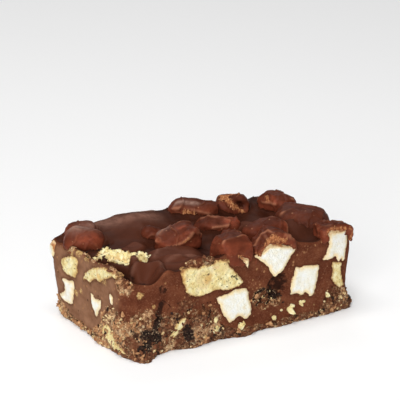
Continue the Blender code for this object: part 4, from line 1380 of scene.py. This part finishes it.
def sponge_relief(co, inside):
    """How far cut marshmallow swells out of the face at a point."""
    swell = 0.34 * smooth_step(0.0, 1.2, inside)
    return swell + 0.2 * ripple(co, 2.4, 61) + 0.14 * ripple(co, 1.0, 62)


def biscuit_relief(co, inside):
    """How far broken biscuit stands out of the face at a point."""
    swell = 0.3 * smooth_step(0.0, 0.7, inside)
    return swell + 0.34 * ripple(co, 1.7, 63) + 0.34 * (crag(co, 0.9, 64) - 0.5)


# Pieces that lie in the top


def copied_node(name, new_name, grain, smoothing):
    """A copy of a CAD node's mesh, rebuilt from fine grains and smoothed."""
    activate(NODES[name])
    copy = NODES[name].copy()
    copy.data = NODES[name].data.copy()
    copy.parent = None
    copy.name = new_name
    copy.data.name = new_name
    # The copy is a piece of its own, so it drops what marks the CAD node.
    for key in list(copy.keys()):
        del copy[key]
    bpy.context.scene.collection.objects.link(copy)
    activate(copy)
    bpy.ops.object.mode_set(mode="EDIT")
    bpy.ops.mesh.select_all(action="SELECT")
    bpy.ops.mesh.remove_doubles(threshold=WELD * MM)
    bpy.ops.object.mode_set(mode="OBJECT")
    apply_modifier(copy, "REMESH", mode="VOXEL", voxel_size=grain * MM)
    apply_modifier(copy, "SMOOTH", factor=0.5, iterations=smoothing)
    return copy


def sculpt_lump(lump, redness, wrinkles, number, outlines, coated):
    """Gives a lump its soft wrinkles, crests, tears and hollows, and paints where they are."""
    flat = millimetres(lump)
    normals = [v.normal.copy() for v in lump.data.vertices]
    apply_modifier(lump, "SMOOTH", factor=0.5, iterations=SOFTENING)
    softened = millimetres(lump)
    ridges = [(co - soft).dot(normal) for co, soft, normal in zip(flat, softened, normals)]
    points = np.array(flat)
    lips, sinks = under_pieces(points, outlines)
    crests = stroke_strength(points, CRESTS)
    tears = stroke_strength(points, TEARS)
    blushes = stroke_strength(points, BLUSHES)
    paint(lump, bloom=stroke_strength(points, PAINTED_HIGHLIGHTS))
    sunk = [(strength, stroke_strength(points, ((width, line),))) for width, strength, line in HOLLOWS]
    rounding = ROUNDED.get(lump.name.removesuffix("_coat"), 0.0)
    flat = [co.lerp(soft, rounding) for co, soft in zip(flat, softened)]
    places, thin, torn, crease, deep = [], [], [], [], []
    for i, (co, normal, ridge) in enumerate(zip(flat, normals, ridges)):
        wrinkle = crag(co + 1.4 * noise.noise_vector(co / 3.0), 6.5, number)
        fold = smooth_step(0.74, 1.0, wrinkle)
        rim = smooth_step(0.12, 0.5, ridge + 0.12 * ripple(co, 1.8, number + 30))
        out = 0.5 + wrinkles * (0.7 * fold - 0.2) + 0.35 * ripple(co, 3.4, number + 70) * wrinkles
        out += 0.09 * ripple(co, 1.1, number + 90) + 0.25 * rim + 0.5 * crests[i]
        patch = tears[i]
        out += patch * 0.5 * (crag(co, 1.2, number + 110) - 0.6)
        hollow = 0.0
        for strength, marks in sunk:
            out -= strength * marks[i]
            hollow = max(hollow, marks[i])
        patch = max(patch, 0.8 * lips[i] * smooth_step(26.5, 29.0, co.z))
        if coated:
            low = smooth_step(COAT_FLOOR + 3.5, COAT_FLOOR, co.z)
            co = co - Vector((0, 0, 1.6)) * low * max(lips[i], sinks[i])
            out += 0.5 * (crag(co, 2.4, number + 190) - 0.4)
        out -= 1.6 * sinks[i]
        places.append(co + normal * out)
        tone = 0.6 + 0.5 * ripple(co, 4.0, number + 130)
        thin.append(max(redness * tone * smooth_step(1.0, 0.4, normal.z), blushes[i], 0.0))
        torn.append(patch)
        wander = 0.55 + ripple(co, 2.0, number + 170)
        folds = fold * wrinkles * smooth_step(-0.1, 0.4, ripple(co, 3.0, number + 150))
        crease.append(min(1.0, max(0.5 * rim * wander, 0.5 * folds, crests[i] ** 4.5 * (0.8 + wander))))
        # Hollows: painted shade; a negative redness: the lump's own darker tone.
        deep.append(max(hollow, -redness))
    put_vertices(lump, places)
    paint(lump, thin=thin, torn=torn, crease=crease, deep=deep)


def make_lump(name, outlines, finish, number):
    """A marshmallow in its coat of chocolate, on its CAD solid."""
    redness, wrinkles, growth, kept_level, _ = LUMP_LOOKS[name]
    lump = copied_node(name, name + "_coat", LUMP_GRAIN, 2)
    low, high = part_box(name)
    centre = (low + high) / 2 / MM
    centre.z = kept_level
    grown = []
    for co in millimetres(lump):
        taper = 1.0 - TAPERS.get(name, PLAIN_TAPER) * smooth_step(kept_level + 1.0, high.z / MM, co.z)
        reach = (growth[0] * taper, growth[1] * taper, growth[2])
        grown.append(centre + Vector([(c - m) * g for c, m, g in zip(co, centre, reach)]))
    put_vertices(lump, grown)
    sculpt_lump(lump, redness, wrinkles, number, outlines, name.startswith("coat"))
    dress(lump, finish, "coating", name)
    return lump


def lump_surfaces(lumps):
    """The faces of all the lumps, and how far the chocolate climbs up at each one."""
    points, faces, climbs = [], [], []
    for lump, (*_, climb) in zip(lumps, LUMP_LOOKS.values()):
        start = len(points)
        points.extend(millimetres(lump))
        faces.extend([start + v for v in face.vertices] for face in lump.data.polygons)
        climbs.extend([climb] * len(lump.data.polygons))
    return BVHTree.FromPolygons(points, faces), climbs


def make_top_biscuit(name, finish, number):
    """A piece of biscuit that lies in the top, with a broken, crumbly skin."""
    piece = copied_node(name, name + "_crumb", PLUG_GRAIN, 1)
    moved, rims = [], []
    for co, normal in [(v.co / MM, v.normal.copy()) for v in piece.data.vertices]:
        out = 0.6 * ripple(co, 2.0, number) + 1.5 * (crag(co, 1.6, number + 5) - 0.5)
        crust = strength_at(co, CRUSTS)
        if name == "biscuit_top_broken":
            forward = -2.0 * smooth_step(3.0, -6.0, co.y)
            up = 0.2 - 1.1 * smooth_step(-2.0, 6.0, co.y)
            co = co + Vector((0.6, forward, up))
        moved.append(co + normal * out)
        under = smooth_step(0.6, -0.2, normal.z)
        rims.append(1.3 + 1.8 * ripple(co, 2.6, number + 9) - 1.6 * under - 2.4 * crust)
    put_vertices(piece, moved)
    paint(piece, rim=rims)
    dress(piece, finish, "biscuit", name)
    return piece


# Crumbs


def crumb_shapes(count, faces, seed):
    """A few jagged little balls, as arrays of vertices and faces, each about 1 across."""
    draw = random.Random(seed)
    shapes = []
    for _ in range(count):
        bpy.ops.mesh.primitive_ico_sphere_add(subdivisions=faces, radius=0.5)
        ball = bpy.context.active_object
        stretch = Vector((draw.uniform(0.9, 1.6), draw.uniform(0.5, 1.0), draw.uniform(0.35, 0.8)))
        mesh = ball.data
        points = [
            tuple(Vector([c * s for c, s in zip(v.co, stretch)]) * draw.uniform(0.7, 1.2))
            for v in mesh.vertices
        ]
        shapes.append((np.array(points), np.array([tuple(f.vertices) for f in mesh.polygons])))
        bpy.data.objects.remove(ball)
        bpy.data.meshes.remove(mesh)
    return shapes


def joined_crumbs(name, shapes, spots, sizes, seed, finish, slot):
    """One mesh of many crumbs, each turned its own way."""
    draw = np.random.default_rng(seed)
    points, faces, start = [], [], 0
    for spot, size in zip(spots, sizes):
        shape, sides = shapes[draw.integers(len(shapes))]
        axes, _ = np.linalg.qr(draw.normal(size=(3, 3)))
        if np.linalg.det(axes) < 0:
            axes[:, 0] *= -1
        points.append(shape @ axes.T * size + spot)
        faces.append(sides + start)
        start += len(shape)
    mesh = bpy.data.meshes.new(name)
    mesh.from_pydata(np.concatenate(points) * MM, [], np.concatenate(faces))
    made = bpy.data.objects.new(name, mesh)
    bpy.context.scene.collection.objects.link(made)
    dress(made, finish, slot)
    mesh.shade_flat()
    return made


def crumbly_skin(things):
    """Corners and directions of every face of the crumbly pieces, and how likely it holds a
    crumb, a pale one or a dark one."""
    corners, directions, chances = [], [], []
    for thing in things:
        mesh = thing.data
        mesh.calc_loop_triangles()
        points = np.array(millimetres(thing))
        triangles = np.array([t.vertices[:] for t in mesh.loop_triangles])
        three = points[triangles]
        cross = np.cross(three[:, 1] - three[:, 0], three[:, 2] - three[:, 0])
        area = np.linalg.norm(cross, axis=1)
        shares = []
        for layer in ("crumbs", "pale", "dark"):
            values = np.zeros(len(mesh.vertices), np.float32)
            mesh.attributes[layer].data.foreach_get("value", values)
            shares.append(values[triangles].min(axis=1))
        chance = area * shares[0] ** 1.5 * (cross[:, 2] > -0.85 * area)
        kept = chance > 1e-6
        corners.append(three[kept])
        directions.append((cross / np.maximum(area, 1e-9)[:, None])[kept])
        chances.append(np.stack([chance, *shares[1:]], axis=1)[kept])
    return np.concatenate(corners), np.concatenate(directions), np.concatenate(chances)


def scatter_crumbs(skin, name, count, smallest, largest, seed, finish, place):
    """Crumbs in clusters on the crumbly places, more of them small than large."""
    corners, directions, chances = skin
    draw = np.random.default_rng(seed)
    pale, dark = chances[:, 1], chances[:, 2]
    liking = {"brown": 1.1 - pale, "pale": 0.2 + pale, "dark": 0.05 + dark}[place]
    weights = chances[:, 0] * liking * (1.0 if place == "dark" else 1.0 - 0.9 * dark)
    middles = corners.mean(axis=1)
    weights = weights * [0.06 + smooth_step(0.0, 0.35, ripple(Vector(m), 3.2, seed + 7)) for m in middles]
    rows = draw.choice(len(weights), size=count, p=weights / weights.sum())
    shares = draw.dirichlet((1, 1, 1), size=count)
    spots = (corners[rows] * shares[:, :, None]).sum(axis=1)
    sizes = smallest + (largest - smallest) * draw.random(count) ** 2.0
    spots += directions[rows] * (sizes * draw.uniform(-0.1, 0.25, count))[:, None]
    spots[:, 2] = np.maximum(spots[:, 2], sizes * 0.95)
    shapes = crumb_shapes(6, 1, seed)
    return joined_crumbs(name, shapes, spots, sizes, seed, finish, "crumb")


def make_face_crumbs(finish):
    """The larger crumbs of biscuit that the knife left showing in the faces."""
    spots = [on_face(face, along, height, 0.05) for face, along, height, _ in FACE_CRUMBS]
    sizes = [size for _, _, _, size in FACE_CRUMBS]
    shapes = crumb_shapes(5, 2, FACE_CRUMB_SEED)
    spots = np.array(spots)
    made = joined_crumbs("face_crumbs", shapes, spots, sizes, FACE_CRUMB_SEED, finish, "biscuit")
    paint(made, rim=[1.2] * len(made.data.vertices))
    return made


# The studio


def make_floor():
    bpy.ops.mesh.primitive_plane_add(size=6.0)
    floor = named("studio_floor")
    paper = Finish("white_paper")
    whites = ((0.0, (0.80, 0.80, 0.80, 1)), (1.0, (0.82, 0.82, 0.82, 1)))
    shade = paper.ramp(paper.cloud(400.0, 2.0), whites)
    normal = paper.bump(paper.cloud(2.0, 2.0), 0.01, 0.1)
    glow = {"Emission_Color": (1, 1, 1, 1), "Emission_Strength": 0.2}
    floor.data.materials.append(paper.finish(shade, 0.9, normal, specular=0.0, **glow))


def light_studio():
    """Three softboxes in a white room."""
    for name, place, size, power, aim in LAMPS:
        bpy.ops.object.light_add(type="AREA", location=place)
        lamp = bpy.context.active_object
        lamp.name = name
        lamp.data.size = size
        lamp.data.energy = power
        lamp.rotation_euler = (place - aim).to_track_quat("Z", "Y").to_euler()
    world = bpy.data.worlds.new("studio")
    world.use_nodes = True
    background = world.node_tree.nodes["Background"]
    background.inputs["Color"].default_value = (1, 1, 1, 1)
    background.inputs["Strength"].default_value = SURROUND
    scene = bpy.context.scene
    scene.world = world
    scene.view_settings.view_transform = "Standard"
    scene.view_settings.look = "None"


def place_camera():
    """A camera at the photograph's angle, whose axis passes a little above the slice."""
    azimuth, elevation = math.radians(CAMERA_AZIMUTH), math.radians(CAMERA_ELEVATION)
    back = Vector((
        math.sin(azimuth) * math.cos(elevation),
        -math.cos(azimuth) * math.cos(elevation),
        math.sin(elevation),
    ))
    bpy.ops.object.camera_add(location=(CAMERA_TARGET + back * CAMERA_DISTANCE) * MM)
    camera = bpy.context.active_object
    camera.data.lens = CAMERA_LENS
    camera.data.clip_start = 0.01
    focal = CAMERA_LENS / camera.data.sensor_width * PICTURE_SIDE
    turn = math.atan((TARGET_PIXEL[0] - PICTURE_SIDE / 2) / focal)
    tip = math.atan((TARGET_PIXEL[1] - PICTURE_SIDE / 2) / focal)
    aimed = back.to_track_quat("Z", "Y").to_matrix()
    aimed = aimed @ Matrix.Rotation(turn, 3, "Y") @ Matrix.Rotation(tip, 3, "X")
    camera.rotation_euler = aimed.to_euler()
    bpy.context.scene.camera = camera


# Building the slice

deselect()
place_camera()
light_studio()
make_floor()

coat = coat_finish()
marshmallow = marshmallow_finish()
biscuit = biscuit_finish()

outlines = cut_outlines()
lumps = [make_lump(name, outlines, coat, number) for number, name in enumerate(LUMP_LOOKS)]
mass = make_chocolate(outlines, *lump_surfaces(lumps), chocolate_finish())
bed = make_bed(bed_finish())

for name, (face, outline) in outlines.items():
    if name.startswith("biscuit"):
        make_plug(name, face, outline, biscuit, "biscuit", biscuit_relief)
    else:
        make_plug(name, face, outline, marshmallow, "marshmallow", sponge_relief)
for name, seed in TOP_BISCUITS.items():
    make_top_biscuit(name, biscuit, seed)

make_face_crumbs(biscuit)
skin = crumbly_skin([mass, bed])
for seed, (kind, count, smallest, largest, place, tones) in enumerate(LOOSE_CRUMBS, 1):
    finish = loose_crumb_finish(kind + "_crumbs", *(colour(*tone) for tone in tones))
    scatter_crumbs(skin, "crumbs_" + kind, count, smallest, largest, seed, finish, place)

deselect()
